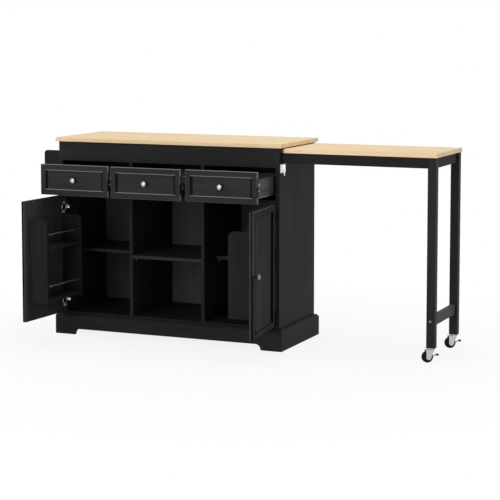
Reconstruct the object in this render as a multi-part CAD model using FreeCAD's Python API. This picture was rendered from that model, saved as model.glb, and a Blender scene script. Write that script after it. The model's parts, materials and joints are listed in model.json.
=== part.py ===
import FreeCAD, Part
import math
import os

# Kitchen island with three drawers, two doors with racks, and a table that pulls out of its right side.
# Millimetres. X runs to the right, Y to the back, Z up. The pieces are drawn about the middle of the
# cabinet, on the floor, and then moved so that the origin lies under the middle of the whole island.
# The table is drawn out, the drawers stand part open and both doors are open.

# Carcass
HEIGHT = 915.0
BODY_WIDTH = 1102.0
BODY_DEPTH = 424.0
SIDE_THICKNESS = 18.0
INNER_THICKNESS = 15.0
BACK_THICKNESS = 12.0
BAYS = 3

# Worktop
TOP_THICKNESS = 18.0
TOP_OVERHANG = 12.0
TOP_ARRIS = 2.0

# Frieze board under the worktop
FRIEZE_HEIGHT = 88.0
FRIEZE_THICKNESS = 18.0

# Plinth with bracket feet
PLINTH_HEIGHT = 96.0
PLINTH_THICKNESS = 18.0
PLINTH_CHAMFER = 10.0
FOOT_WIDTH = 101.0
FOOT_RISE = 26.5
FOOT_CURVE = 22.0
FOOT_BULGE = 5.0
BOTTOM_LIP = 9.0

# Heights inside the carcass
DRAWER_ZONE = 142.0
FRONT_GAP = 2.0
SHELF_PLAY = 1.0
BEHIND_RACK = 12.0

# Supports that the shelves lie on
SUPPORT_HEIGHT = 12.0
SUPPORT_REACH = 9.0
SUPPORT_WIDTH = 16.0
SUPPORT_SHEET = 2.5
SUPPORT_INSET = 40.0

# Play between fitted pieces, how far a cutting body overruns, and how closely edges are matched
FIT = 0.1
OVERRUN = 5.0
MATCH = 0.05

# Counts of flats round the small turned pieces and round the wheels, which keep the model light
TURN_STEPS = 24
WHEEL_STEPS = 40

# Moulded drawer and door fronts
FRONT_THICKNESS = 18.0
FRONT_ARRIS = 1.5
DRAWER_FRAME = 24.0
DOOR_FRAME = 26.0
STEP_DEPTH = 3.0
STEP_LEDGE = 2.5
BEVEL_WIDTH = 8.0
PANEL_RECESS = 7.0

# Drawer boxes
DRAWER_PULLS = (202.0, 211.0, 201.0)
BOX_THICKNESS = 12.0
BOX_HEIGHT = 78.0
BOX_LENGTH = 350.0
BOX_RAISE = 23.0
BOX_BOTTOM = 4.0
BOX_BOTTOM_RISE = 8.0
BOX_GROOVE = 5.0

# Roller runners
RUNNER_GAP = 12.7
RUNNER_SHEET = 1.2
RUNNER_LENGTH = 345.0
RUNNER_WEB = 26.0
RUNNER_LIP = 8.0
RUNNER_LIP_DROP = 3.0
CHANNEL_HEIGHT = 34.0
CHANNEL_FLANGE = 9.0
CHANNEL_DROP = 3.0
ROLLER_DIAMETER = 15.0
ROLLER_WIDTH = 6.0
ROLLER_INSET = 14.0
RUNNING_GAP = 0.3

# Round knobs
KNOB_DIAMETER = 24.0
KNOB_REACH = 28.0
KNOB_RIM = 2.5
KNOB_DOME = 5.0
KNOB_FLARE = 5.0
KNOB_STEM = 8.5
KNOB_BASE = 15.0
KNOB_BASE_HEIGHT = 2.0
DOME_STEPS = 3

# Doors
LEFT_DOOR_ANGLE = 93.0
RIGHT_DOOR_ANGLE = 97.0
HINGE_STANDOFF = 1.0
HINGE_INSET = 55.0
CUP_DIAMETER = 35.0
CUP_DEPTH = 11.0
CUP_SETBACK = 22.0
FLANGE_HEIGHT = 58.0
FLANGE_WIDTH = 22.0
FLANGE_SHEET = 1.5
HINGE_PLATE_HEIGHT = 48.0
HINGE_PLATE_LENGTH = 32.0
HINGE_PLATE_SHEET = 3.0
HINGE_ARM_HEIGHT = 16.0
HINGE_ARM_LENGTH = 58.0
HINGE_ARM_DEPTH = 8.0
HINGE_ARM_GAP = 4.0
HINGE_CLEARANCE = 0.3

# Racks on the doors
RACK_WIDTH = 290.0
RACK_DEPTH = 100.0
RACK_END_GAP = 1.0
RACK_BOARD = 12.0
RACK_CORNER = 24.0
RACK_SHELF_RISE = 8.0
UPPER_TIER_SHARE = 0.635
RAIL_DIAMETER = 6.0
RAIL_RISE = 57.0
RAIL_INSET = 8.0

# Rack on the left side
SIDE_RACK_DEPTH = 78.0
SIDE_RACK_HEIGHT = 140.0
SIDE_RACK_DROP = 44.0
SIDE_RACK_CORNER = 15.0

# Table that slides out to the right
TABLE_GAP = 4.0
TABLE_SIDE_GAP = 2.0
TABLE_BACK_GAP = 12.0
TABLE_REACH = 707.0
TABLE_TRAVEL = 620.0
TABLE_LENGTH = 1169.0
TABLE_LIP = 4.0
TABLE_FRONT_LIP = 2.0
APRON_HEIGHT = 46.0
APRON_THICKNESS = 18.0
APRON_INSET = 8.0
LEG_WIDTH = 37.0
LEG_ARRIS = 2.0
STOP_DROP = 17.0
STOP_GAP = 2.0
PASSAGE_GAP = 3.0
PASSAGE_POST = 20.0
STRETCHER_HEIGHT = 45.0
STRETCHER_THICKNESS = 18.0
STRETCHER_RISE = 155.0
BOLT_HEAD = 13.0
BOLT_HEAD_HEIGHT = 2.5

# Spring latch that holds the table
LATCH_WIDTH = 60.0
LATCH_HEIGHT = 38.0
LATCH_SHEET = 2.0
LATCH_CORNER = 5.0
LATCH_TOP_GAP = 1.0
BARREL_DIAMETER = 11.0
BARREL_TOP_GAP = 3.0
BARREL_LENGTH = 32.0
LATCH_PIN_DIAMETER = 6.0
LATCH_PIN_TOP_GAP = 0.6
LATCH_TRAVEL = 8.0
LATCH_KNOB_DIAMETER = 9.5
LATCH_KNOB_HEIGHT = 7.0
LATCH_KNOB_BEVEL = 2.0
LATCH_SOCKET_PLAY = 1.5
LATCH_SOCKET_DEPTH = 12.0

# Casters under the table legs
WHEEL_DIAMETER = 50.0
WHEEL_WIDTH = 18.0
TYRE_ROUND = 4.0
TYRE_STEPS = 2
RIM_DIAMETER = 38.0
HUB_DIAMETER = 18.0
HUB_DISH = 2.0
AXLE_DIAMETER = 6.0
AXLE_HEAD = 10.0
AXLE_HEAD_HEIGHT = 1.5
WHEEL_PLAY = 1.0
CASTER_HEIGHT = 62.5
CASTER_TRAIL = 18.0
CASTER_PLATE = 37.0
CASTER_PLATE_SHEET = 2.5
CASTER_PLATE_CORNER = 4.0
RACE_DIAMETER = 27.0
RACE_HEIGHT = 2.5
FORK_SHEET = 2.5
FORK_DISC = 30.0
FORK_HEEL = 26.0
FORK_TOE = 3.0
FORK_TAIL = 12.5
KINGPIN_DIAMETER = 8.0
KINGPIN_HEAD = 12.0
KINGPIN_HEAD_HEIGHT = 1.6
TRAIL_ANGLES = (217.0, 216.0)

# Brake levers on the casters
LEVER_SHEET = 2.5
LEVER_EYE = 13.0
LEVER_HEIGHT = 5.0
LEVER_KNEE = 18.0
LEVER_REACH = 31.0
LEVER_RISE = 5.0
LEVER_TOE_LENGTH = 9.0
LEVER_TOE_WIDTH = 14.0
LEVER_TOE_HEIGHT = 5.0

# Lines that several pieces share
SIDE_OUT = BODY_WIDTH / 2
SIDE_IN = SIDE_OUT - SIDE_THICKNESS
FRONT_Y = -BODY_DEPTH / 2
BACK_Y = BODY_DEPTH / 2
BACK_IN = BACK_Y - BACK_THICKNESS
FRIEZE_IN = FRONT_Y + FRIEZE_THICKNESS
FRONT_IN = FRONT_Y + FRONT_THICKNESS
CARCASS_TOP = HEIGHT - TOP_THICKNESS
FRIEZE_Z = CARCASS_TOP - FRIEZE_HEIGHT
DECK_TOP = FRIEZE_Z - DRAWER_ZONE
DECK_Z = DECK_TOP - INNER_THICKNESS
FLOOR_TOP = PLINTH_HEIGHT + BOTTOM_LIP
FLOOR_Z = FLOOR_TOP - INNER_THICKNESS
BAY_WIDTH = (2 * SIDE_IN - (BAYS - 1) * INNER_THICKNESS) / BAYS
BAY_PITCH = BAY_WIDTH + INNER_THICKNESS
SHELF_Z = (FLOOR_TOP + DECK_Z - INNER_THICKNESS) / 2
SIDE_SHELF_Y = FRONT_IN + RACK_DEPTH + BEHIND_RACK

TABLE_TOP_Z = CARCASS_TOP - TABLE_GAP
TABLE_UNDER = TABLE_TOP_Z - TOP_THICKNESS
APRON_Z = TABLE_UNDER - APRON_HEIGHT
TABLE_RIGHT = SIDE_OUT + TABLE_REACH
TABLE_LEFT = TABLE_RIGHT - TABLE_LENGTH
TABLE_FRONT = FRIEZE_IN + TABLE_SIDE_GAP
TABLE_BACK = BACK_IN - TABLE_BACK_GAP
LEG_RIGHT = TABLE_RIGHT - TABLE_LIP
LEG_LEFT = LEG_RIGHT - LEG_WIDTH
LEG_FRONT = TABLE_FRONT + TABLE_FRONT_LIP
LEG_BACK = TABLE_BACK - TABLE_FRONT_LIP
APRON_FRONT = TABLE_FRONT + APRON_INSET
APRON_BACK = TABLE_BACK - APRON_INSET
LEG_CENTRE_X = LEG_LEFT + LEG_WIDTH / 2
FRONT_LEG_Y = LEG_FRONT + LEG_WIDTH / 2
BACK_LEG_Y = LEG_BACK - LEG_WIDTH / 2
GUIDE_TOP = APRON_Z - RUNNING_GAP
PASSAGE_Z = APRON_Z - PASSAGE_GAP

DRAWER_HEIGHT = DRAWER_ZONE - 2 * FRONT_GAP
DRAWER_Z = DECK_TOP + FRONT_GAP
FRONT_WIDTH = BAY_WIDTH - 2 * FRONT_GAP
BOX_WIDTH = BAY_WIDTH - 2 * RUNNER_GAP
BOX_Z = DRAWER_Z + BOX_RAISE

DOOR_Z = FLOOR_TOP + FRONT_GAP
DOOR_HEIGHT = DECK_Z - FRONT_GAP - DOOR_Z
DOOR_LEFT = -SIDE_IN + FRONT_GAP
HINGE_X = -SIDE_IN + FRONT_GAP / 2
HINGE_Y = FRONT_Y - HINGE_STANDOFF
HINGE_HEIGHTS = (DOOR_Z + HINGE_INSET, DOOR_Z + DOOR_HEIGHT - HINGE_INSET)
DOOR_EDGE_SWING = (FRONT_GAP / 2 + HINGE_STANDOFF + FRONT_ARRIS) * math.sqrt(0.5)
KNUCKLE_DIAMETER = 2 * (DOOR_EDGE_SWING - HINGE_CLEARANCE)
RACK_LEFT = DOOR_LEFT + (FRONT_WIDTH - RACK_WIDTH) / 2
RACK_Z = HINGE_HEIGHTS[0] + FLANGE_HEIGHT / 2 + RACK_END_GAP
RACK_HEIGHT = HINGE_HEIGHTS[1] - FLANGE_HEIGHT / 2 - RACK_END_GAP - RACK_Z
RACK_PITCH = UPPER_TIER_SHARE * (RACK_HEIGHT - RACK_SHELF_RISE)

LATCH_Y = APRON_FRONT + APRON_THICKNESS / 2
LATCH_TOP = PASSAGE_Z - LATCH_TOP_GAP
BARREL_X = SIDE_OUT + LATCH_SHEET + BARREL_DIAMETER / 2
BARREL_TOP = LATCH_TOP - BARREL_TOP_GAP
BARREL_Z = BARREL_TOP - BARREL_LENGTH


def point(x, y, z):
    return FreeCAD.Vector(x, y, z)


ALONG_X = point(1, 0, 0)
ALONG_Y = point(0, 1, 0)
ALONG_Z = point(0, 0, 1)
ORIGIN = point(0, 0, 0)


def board(xs, ys, zs):
    """A flat board between two values along each axis."""
    return Part.makeBox(xs[1] - xs[0], ys[1] - ys[0], zs[1] - zs[0], point(xs[0], ys[0], zs[0]))


def rod(diameter, start, end):
    """A round bar from one point to another."""
    run = end - start
    return Part.makeCylinder(diameter / 2, run.Length, start, run)


def turned(outline, flats, hollow=False):
    """A piece turned about Y, with flats round it. The outline gives a radius and a place along Y for each
    point. A hollow piece's outline closes on itself and leaves the axis free."""
    rings = []
    for radius, place in outline:
        turns = [2 * math.pi * flat / flats for flat in range(flats)]
        rings.append([point(radius * math.cos(turn), place, radius * math.sin(turn)) for turn in turns])
    faces = [] if hollow else [polygon_face(rings[0]), polygon_face(rings[-1])]
    after = rings[1:] + rings[:1] if hollow else rings[1:]
    for near, far in zip(rings, after):
        for flat in range(flats):
            following = (flat + 1) % flats
            faces.append(polygon_face([near[flat], near[following], far[following], far[flat]]))
    solid = Part.makeSolid(Part.makeShell(faces))
    return solid.removeSplitter()


def turned_upright(outline):
    """A piece turned about Z. The outline gives a radius and a height for each point."""
    return turned(outline, TURN_STEPS).rotated(ORIGIN, ALONG_X, 90)


def round_bar(diameter, start, end):
    """A light bar between two points, drawn with flats."""
    run = end - start
    bar = turned([(diameter / 2, 0), (diameter / 2, run.Length)], TURN_STEPS)
    bar.Placement = FreeCAD.Placement(start, FreeCAD.Rotation(ALONG_Y, run))
    return bar


def closed_face(edges):
    return Part.Face(Part.Wire(edges))


def polygon_face(corners):
    return Part.Face(Part.makePolygon(corners + corners[:1]))


def ease(shape, size, chosen):
    """Chamfer the edges for which chosen(edge) is true."""
    edges = [edge for edge in shape.Edges if chosen(edge)]
    return shape.makeChamfer(size, edges)


def upright(edge):
    """True for a straight edge that runs up and down."""
    ends = edge.Vertexes
    return len(ends) == 2 and abs(ends[0].Z - ends[1].Z) > edge.Length - MATCH


def at_height(z):
    """A test for edges that lie all along at one height."""
    return lambda edge: all(abs(vertex.Z - z) < MATCH for vertex in edge.Vertexes)


def mirrored(shape):
    """The same piece on the other side of the cabinet's middle."""
    return shape.mirror(ORIGIN, ALONG_X)


def bay_start(bay):
    return -SIDE_IN + bay * BAY_PITCH


# Worktop and carcass


def worktop():
    reach = SIDE_OUT + TOP_OVERHANG
    depth = BACK_Y + TOP_OVERHANG
    top = board((-reach, reach), (-depth, depth), (CARCASS_TOP, HEIGHT))
    return ease(top, TOP_ARRIS, at_height(HEIGHT))


def frieze_board():
    return board((-SIDE_OUT, SIDE_OUT), (FRONT_Y, FRIEZE_IN), (FRIEZE_Z, CARCASS_TOP))


def shelf_support(wall, way, depth):
    """A bracket under a shelf: a tab on the wall and a ledge that the shelf lies on."""
    xs = sorted((wall, wall + way * SUPPORT_SHEET))
    ledge_xs = sorted((wall, wall + way * SUPPORT_REACH))
    ys = (depth - SUPPORT_WIDTH / 2, depth + SUPPORT_WIDTH / 2)
    tab = board(xs, ys, (SHELF_Z - SUPPORT_HEIGHT, SHELF_Z))
    ledge = board(ledge_xs, ys, (SHELF_Z - SUPPORT_SHEET, SHELF_Z))
    return tab.fuse(ledge).removeSplitter()


def shelf_supports():
    """Four brackets under each of the three shelves."""
    supports = []
    for bay in range(BAYS):
        front = FRONT_Y if bay == 1 else SIDE_SHELF_Y
        for wall, way in ((bay_start(bay), 1), (bay_start(bay) + BAY_WIDTH, -1)):
            for depth in (front + SUPPORT_INSET, BACK_IN - SUPPORT_INSET):
                supports.append(shelf_support(wall, way, depth))
    return Part.makeCompound(supports)


def left_side_panel():
    """The side that stands on the floor, with a notch at its top front corner for the frieze board."""
    panel = board((-SIDE_OUT, -SIDE_IN), (FRONT_Y, BACK_Y), (0, CARCASS_TOP))
    notch = board((-SIDE_OUT - OVERRUN, -SIDE_IN + OVERRUN), (FRONT_Y - OVERRUN, FRIEZE_IN),
                  (FRIEZE_Z, CARCASS_TOP + OVERRUN))
    return panel.cut(notch)


def right_side_panel():
    """The right side, cut down at the top so that the table passes over it."""
    panel = mirrored(left_side_panel())
    passage = board((SIDE_IN - OVERRUN, SIDE_OUT + OVERRUN), (FRONT_Y - OVERRUN, BACK_Y - PASSAGE_POST),
                    (PASSAGE_Z, CARCASS_TOP + OVERRUN))
    return panel.cut(passage)


def dividers():
    """Two uprights between the bays."""
    uprights = []
    for bay in range(1, BAYS):
        end = bay_start(bay)
        uprights.append(board((end - INNER_THICKNESS, end), (FRONT_Y, BACK_IN), (FLOOR_TOP, FRIEZE_Z)))
    return Part.makeCompound(uprights)


def bottom_panel():
    return board((-SIDE_IN, SIDE_IN), (FRONT_Y, BACK_Y), (FLOOR_Z, FLOOR_TOP))


def drawer_decks():
    """Three boards that the drawers run over, one in each bay."""
    decks = []
    for bay in range(BAYS):
        start = bay_start(bay)
        decks.append(board((start, start + BAY_WIDTH), (FRONT_Y, BACK_IN), (DECK_Z, DECK_TOP)))
    return Part.makeCompound(decks)


def shelf(bay, front):
    start = bay_start(bay) + SHELF_PLAY / 2
    end = bay_start(bay) + BAY_WIDTH - SHELF_PLAY / 2
    return board((start, end), (front, BACK_IN - SHELF_PLAY), (SHELF_Z, SHELF_Z + INNER_THICKNESS))


def side_shelves():
    """The two shelves behind the doors, set back to leave room for the door racks."""
    return Part.makeCompound([shelf(0, SIDE_SHELF_Y), shelf(BAYS - 1, SIDE_SHELF_Y)])


def centre_shelf():
    return shelf(1, FRONT_Y)


def back_panel():
    return board((-SIDE_IN, SIDE_IN), (BACK_IN, BACK_Y), (FLOOR_TOP, CARCASS_TOP))


def table_guides():
    """Two battens inside the carcass that the table's aprons slide on."""
    front = board((-SIDE_IN, SIDE_IN), (FRIEZE_IN, APRON_FRONT + APRON_THICKNESS - RUNNING_GAP),
                  (FRIEZE_Z, GUIDE_TOP))
    back = board((-SIDE_IN, SIDE_IN), (APRON_BACK - APRON_THICKNESS + RUNNING_GAP, BACK_IN),
                 (FRIEZE_Z, GUIDE_TOP))
    return Part.makeCompound([front, back])


# Plinth


def plinth_profile(place):
    """The plinth's section, closed. place(out, z) puts a distance outwards and a height in space."""
    shoulder = PLINTH_HEIGHT - PLINTH_CHAMFER
    ledge = PLINTH_THICKNESS - PLINTH_CHAMFER
    corners = [place(0, 0), place(PLINTH_THICKNESS, 0), place(PLINTH_THICKNESS, shoulder),
               place(ledge, PLINTH_HEIGHT), place(0, PLINTH_HEIGHT)]
    return Part.makePolygon(corners + corners[:1])


def mitred_run(half_length, face, along_x):
    """A plinth board whose two ends are mitred at 45 degrees."""
    ends = []
    for way in (-1, 1):
        if along_x:
            ends.append(plinth_profile(lambda out, z: point(way * (half_length + out), face - out, z)))
        else:
            ends.append(plinth_profile(lambda out, z: point(face + out, way * (half_length + out), z)))
    return Part.makeLoft(ends, True, True)


def foot_cutout(start_y, end_y):
    """The space between the bracket feet: a flat top that curves down to the floor at both ends."""
    foot = SIDE_OUT + PLINTH_THICKNESS - FOOT_WIDTH
    flat = foot - FOOT_CURVE
    low_left = point(-foot, start_y, 0)
    low_right = point(foot, start_y, 0)
    high_left = point(-flat, start_y, FOOT_RISE)
    high_right = point(flat, start_y, FOOT_RISE)
    bend_left = point(-(foot + flat) / 2 - FOOT_BULGE, start_y, FOOT_RISE / 2 + FOOT_BULGE)
    bend_right = point((foot + flat) / 2 + FOOT_BULGE, start_y, FOOT_RISE / 2 + FOOT_BULGE)
    below = point(0, 0, -OVERRUN)
    edges = [Part.Arc(low_left, bend_left, high_left).toShape(),
             Part.makeLine(high_left, high_right),
             Part.Arc(high_right, bend_right, low_right).toShape(),
             Part.makeLine(low_right, low_right + below),
             Part.makeLine(low_right + below, low_left + below),
             Part.makeLine(low_left + below, low_left)]
    return closed_face(edges).extrude(point(0, end_y - start_y, 0))


def plinth_front():
    run = mitred_run(SIDE_OUT, FRONT_Y, True)
    return run.cut(foot_cutout(FRONT_Y - PLINTH_THICKNESS - OVERRUN, FRONT_Y + OVERRUN))


def plinth_back():
    return mitred_run(SIDE_OUT, FRONT_Y, True).mirror(ORIGIN, ALONG_Y)


def plinth_sides():
    right = mitred_run(BACK_Y, SIDE_OUT, False)
    return Part.makeCompound([mirrored(right), right])


# Racks


def rack_end(depth, height, corner, thickness):
    """An end board that stands out along X, with its top outer corner rounded. It lies at the origin."""
    turn = corner - corner * math.sqrt(0.5)
    edges = [Part.makeLine(point(0, 0, 0), point(depth, 0, 0)),
             Part.makeLine(point(depth, 0, 0), point(depth, 0, height - corner)),
             Part.Arc(point(depth, 0, height - corner), point(depth - turn, 0, height - turn),
                      point(depth - corner, 0, height)).toShape(),
             Part.makeLine(point(depth - corner, 0, height), point(0, 0, height)),
             Part.makeLine(point(0, 0, height), point(0, 0, 0))]
    return closed_face(edges).extrude(point(0, thickness, 0))


def rack_pieces(depth, height, corner, length, shelf_heights):
    """End boards, shelves and rails of a rack that stands out along X and runs along Y."""
    near = rack_end(depth, height, corner, RACK_BOARD)
    far = near.translated(point(0, length - RACK_BOARD, 0))
    shelves = []
    rails = []
    for low in shelf_heights:
        shelves.append(board((0, depth), (RACK_BOARD, length - RACK_BOARD), (low, low + RACK_BOARD)))
        height_of_rail = low + RACK_BOARD + RAIL_RISE
        start = point(depth - RAIL_INSET, RACK_BOARD, height_of_rail)
        end = point(depth - RAIL_INSET, length - RACK_BOARD, height_of_rail)
        rails.append(rod(RAIL_DIAMETER, start, end))
    return {"ends": Part.makeCompound([near, far]),
            "shelves": Part.makeCompound(shelves),
            "rails": Part.makeCompound(rails)}


def side_rack():
    """The one-tier rack on the outside of the left side panel."""
    pieces = rack_pieces(SIDE_RACK_DEPTH, SIDE_RACK_HEIGHT, SIDE_RACK_CORNER, BODY_DEPTH,
                         (RACK_SHELF_RISE,))
    low = CARCASS_TOP - SIDE_RACK_DROP - SIDE_RACK_HEIGHT
    for name, shape in pieces.items():
        pieces[name] = mirrored(shape.translated(point(SIDE_OUT, FRONT_Y, low)))
    return {"side_rack_ends": pieces["ends"],
            "side_rack_shelf": Part.makeCompound([pieces["shelves"], pieces["rails"]])}


# Moulded fronts, knobs and drawers


def sunk_frame(width, height, inset, depth):
    """The outline, sunk to a depth, of what a frame of one width leaves free."""
    corners = [point(inset, depth, inset), point(width - inset, depth, inset),
               point(width - inset, depth, height - inset), point(inset, depth, height - inset)]
    return Part.makePolygon(corners + corners[:1])


def moulded_recess(width, height, frame):
    """The hollow of a moulded front: a square step, a narrow ledge and a bevel down to the sunk panel."""
    step = Part.makeLoft([sunk_frame(width, height, frame, -OVERRUN),
                          sunk_frame(width, height, frame, STEP_DEPTH)], True, True)
    inner = frame + STEP_LEDGE
    bevel = Part.makeLoft([sunk_frame(width, height, inner, STEP_DEPTH),
                           sunk_frame(width, height, inner + BEVEL_WIDTH, PANEL_RECESS)], True, True)
    return step.fuse(bevel)


def moulded_front(width, height, frame):
    """A front with a flat frame and a sunk panel. Its outer face is at Y 0 and its corner at the origin."""
    slab = board((0, width), (0, FRONT_THICKNESS), (0, height))
    outer = [edge for edge in slab.Edges if all(abs(vertex.Y) < FIT for vertex in edge.Vertexes)]
    return slab.makeChamfer(FRONT_ARRIS, outer).cut(moulded_recess(width, height, frame))


def knob(face):
    """A turned knob at the point face: a base ring, and a stem that flares out to a domed head."""
    rim = KNOB_DIAMETER / 2
    neck = KNOB_STEM / 2
    dome_start = -(KNOB_REACH - KNOB_DOME)
    rim_start = dome_start + KNOB_RIM
    outline = [(KNOB_BASE / 2, 0), (KNOB_BASE / 2, -KNOB_BASE_HEIGHT), (neck, -KNOB_BASE_HEIGHT),
               (neck, rim_start + KNOB_FLARE), (rim, rim_start)]
    for step in range(DOME_STEPS + 1):
        angle = math.pi / 2 * step / (DOME_STEPS + 1)
        outline.append((rim * math.cos(angle), dome_start - KNOB_DOME * math.sin(angle)))
    return turned(outline, TURN_STEPS).translated(face)


def drawer_front(start, front_y, bottom_y):
    """The moulded front, grooved behind for the drawer's bottom."""
    front = moulded_front(FRONT_WIDTH, DRAWER_HEIGHT, DRAWER_FRAME)
    front = front.translated(point(start + FRONT_GAP, front_y, DRAWER_Z))
    groove_z = BOX_Z + BOX_BOTTOM_RISE
    groove = board((start + RUNNER_GAP + BOX_THICKNESS - BOX_GROOVE, start + BAY_WIDTH - RUNNER_GAP
                    - BOX_THICKNESS + BOX_GROOVE), (bottom_y - FIT, bottom_y + BOX_GROOVE + OVERRUN),
                   (groove_z - FIT, groove_z + BOX_BOTTOM + FIT))
    return front.cut(groove)


def drawer_box(start, back_of_front, bottom):
    """Two sides and a back, grooved for the bottom board that lies in them."""
    left = start + RUNNER_GAP
    right = left + BOX_WIDTH
    end = back_of_front + BOX_LENGTH
    height = (BOX_Z, BOX_Z + BOX_HEIGHT)
    groove = bottom.BoundBox
    groove = board((groove.XMin - FIT, groove.XMax + FIT), (groove.YMin - FIT, groove.YMax + FIT),
                   (groove.ZMin - FIT, groove.ZMax + FIT))
    sides = [board((left, left + BOX_THICKNESS), (back_of_front, end), height),
             board((right - BOX_THICKNESS, right), (back_of_front, end), height),
             board((left + BOX_THICKNESS, right - BOX_THICKNESS), (end - BOX_THICKNESS, end), height)]
    return Part.makeCompound([side.cut(groove) for side in sides] + [bottom])


def drawer_bottom(start, bottom_y, end):
    inner = RUNNER_GAP + BOX_THICKNESS - BOX_GROOVE
    low = BOX_Z + BOX_BOTTOM_RISE
    return board((start + inner + FIT, start + BAY_WIDTH - inner - FIT),
                 (bottom_y, end - BOX_THICKNESS + BOX_GROOVE - FIT), (low, low + BOX_BOTTOM))


def drawer_rail(start, back_of_front):
    """The moving half of a left runner: an angle round the box's lower edge, with a lip and a roller."""
    side = start + RUNNER_GAP
    end = back_of_front + RUNNER_LENGTH
    low = BOX_Z - RUNNER_SHEET
    lip_top = low + RUNNER_WEB
    foot = board((side - RUNNER_SHEET, side + BOX_THICKNESS), (back_of_front, end), (low, BOX_Z))
    web = board((side - RUNNER_SHEET, side), (back_of_front, end), (low, lip_top))
    lip = board((side - RUNNER_SHEET - RUNNER_LIP, side), (back_of_front, end),
                (lip_top - RUNNER_SHEET, lip_top))
    axis_y = end - ROLLER_INSET
    axis_z = lip_top - RUNNER_SHEET - RUNNER_LIP_DROP - ROLLER_DIAMETER / 2
    outer = side - RUNNER_SHEET - ROLLER_WIDTH
    roller = round_bar(ROLLER_DIAMETER, point(outer, axis_y, axis_z),
                       point(side - RUNNER_SHEET, axis_y, axis_z))
    return foot.fuse([web, lip, roller]).removeSplitter()


def cabinet_rail(start):
    """The fixed half of a left runner: a channel on the bay's wall, with a roller at its front."""
    end = FRONT_IN + RUNNER_LENGTH
    lip = BOX_Z - RUNNER_SHEET + RUNNER_WEB - RUNNER_SHEET
    low = BOX_Z - RUNNER_SHEET - CHANNEL_DROP
    web = board((start, start + RUNNER_SHEET), (FRONT_IN, end), (low, low + CHANNEL_HEIGHT))
    foot = board((start, start + CHANNEL_FLANGE), (FRONT_IN, end), (low, low + RUNNER_SHEET))
    head = board((start, start + CHANNEL_FLANGE), (FRONT_IN, end),
                 (low + CHANNEL_HEIGHT - RUNNER_SHEET, low + CHANNEL_HEIGHT))
    axis_y = FRONT_IN + ROLLER_INSET
    axis_z = lip - RUNNING_GAP - ROLLER_DIAMETER / 2
    roller = round_bar(ROLLER_DIAMETER, point(start + RUNNER_SHEET, axis_y, axis_z),
                       point(start + RUNNER_SHEET + ROLLER_WIDTH, axis_y, axis_z))
    return web.fuse([foot, head, roller]).removeSplitter()


def both_walls(shape, start):
    """A runner half and its mirror image on the bay's other wall."""
    middle = start + BAY_WIDTH / 2
    return [shape, shape.mirror(point(middle, 0, 0), ALONG_X)]


def cabinet_rails():
    rails = []
    for bay in range(BAYS):
        start = bay_start(bay)
        rails += both_walls(cabinet_rail(start), start)
    return Part.makeCompound(rails)


def drawer(bay):
    """The pieces of one drawer, pulled out by its own distance."""
    start = bay_start(bay)
    front_y = FRONT_Y - DRAWER_PULLS[bay]
    back_of_front = front_y + FRONT_THICKNESS
    bottom_y = back_of_front - BOX_GROOVE + FIT
    bottom = drawer_bottom(start, bottom_y, back_of_front + BOX_LENGTH)
    face = point(start + BAY_WIDTH / 2, front_y + PANEL_RECESS, DRAWER_Z + DRAWER_HEIGHT / 2)
    rails = both_walls(drawer_rail(start, back_of_front), start)
    name = "drawer_%d" % (bay + 1)
    return {name + "_front": drawer_front(start, front_y, bottom_y),
            name + "_box": drawer_box(start, back_of_front, bottom),
            name + "_runners": Part.makeCompound(rails),
            name + "_knob": knob(face)}


# Doors, drawn shut and then swung open


def hinge_cup(height):
    """The cup and flange of a concealed hinge, let into the door's inner face."""
    centre = point(DOOR_LEFT + CUP_SETBACK, FRONT_IN, height)
    cup = rod(CUP_DIAMETER, centre - point(0, CUP_DEPTH, 0), centre)
    flange = board((centre.x - FLANGE_WIDTH / 2, centre.x + FLANGE_WIDTH / 2),
                   (FRONT_IN, FRONT_IN + FLANGE_SHEET),
                   (height - FLANGE_HEIGHT / 2, height + FLANGE_HEIGHT / 2))
    return cup.fuse(flange).removeSplitter()


def hinge_arm(height):
    """A hinge's plate and arm on the side panel, with a tongue to the knuckle on the hinge line."""
    front = FRONT_IN + HINGE_ARM_GAP
    middle = front + HINGE_ARM_LENGTH / 2
    plate = board((-SIDE_IN, -SIDE_IN + HINGE_PLATE_SHEET),
                  (middle - HINGE_PLATE_LENGTH / 2, middle + HINGE_PLATE_LENGTH / 2),
                  (height - HINGE_PLATE_HEIGHT / 2, height + HINGE_PLATE_HEIGHT / 2))
    low = height - HINGE_ARM_HEIGHT / 2
    high = height + HINGE_ARM_HEIGHT / 2
    arm = board((-SIDE_IN, -SIDE_IN + HINGE_PLATE_SHEET + HINGE_ARM_DEPTH),
                (front, front + HINGE_ARM_LENGTH), (low, high))
    arm = ease(arm, HINGE_PLATE_SHEET, lambda edge: upright(edge) and edge.BoundBox.XMin > -SIDE_IN + FIT)
    tongue = board((-SIDE_IN, DOOR_LEFT - HINGE_CLEARANCE), (HINGE_Y, front), (low, high))
    knuckle = round_bar(KNUCKLE_DIAMETER, point(HINGE_X, HINGE_Y, low), point(HINGE_X, HINGE_Y, high))
    beside_panel = board((-SIDE_IN, HINGE_X + KNUCKLE_DIAMETER),
                         (HINGE_Y - KNUCKLE_DIAMETER, HINGE_Y + KNUCKLE_DIAMETER), (low, high))
    return plate.fuse([arm, tongue, knuckle.common(beside_panel)]).removeSplitter()


def hinge_arms():
    left = [hinge_arm(height) for height in HINGE_HEIGHTS]
    return Part.makeCompound(left + [mirrored(arm) for arm in left])


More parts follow.
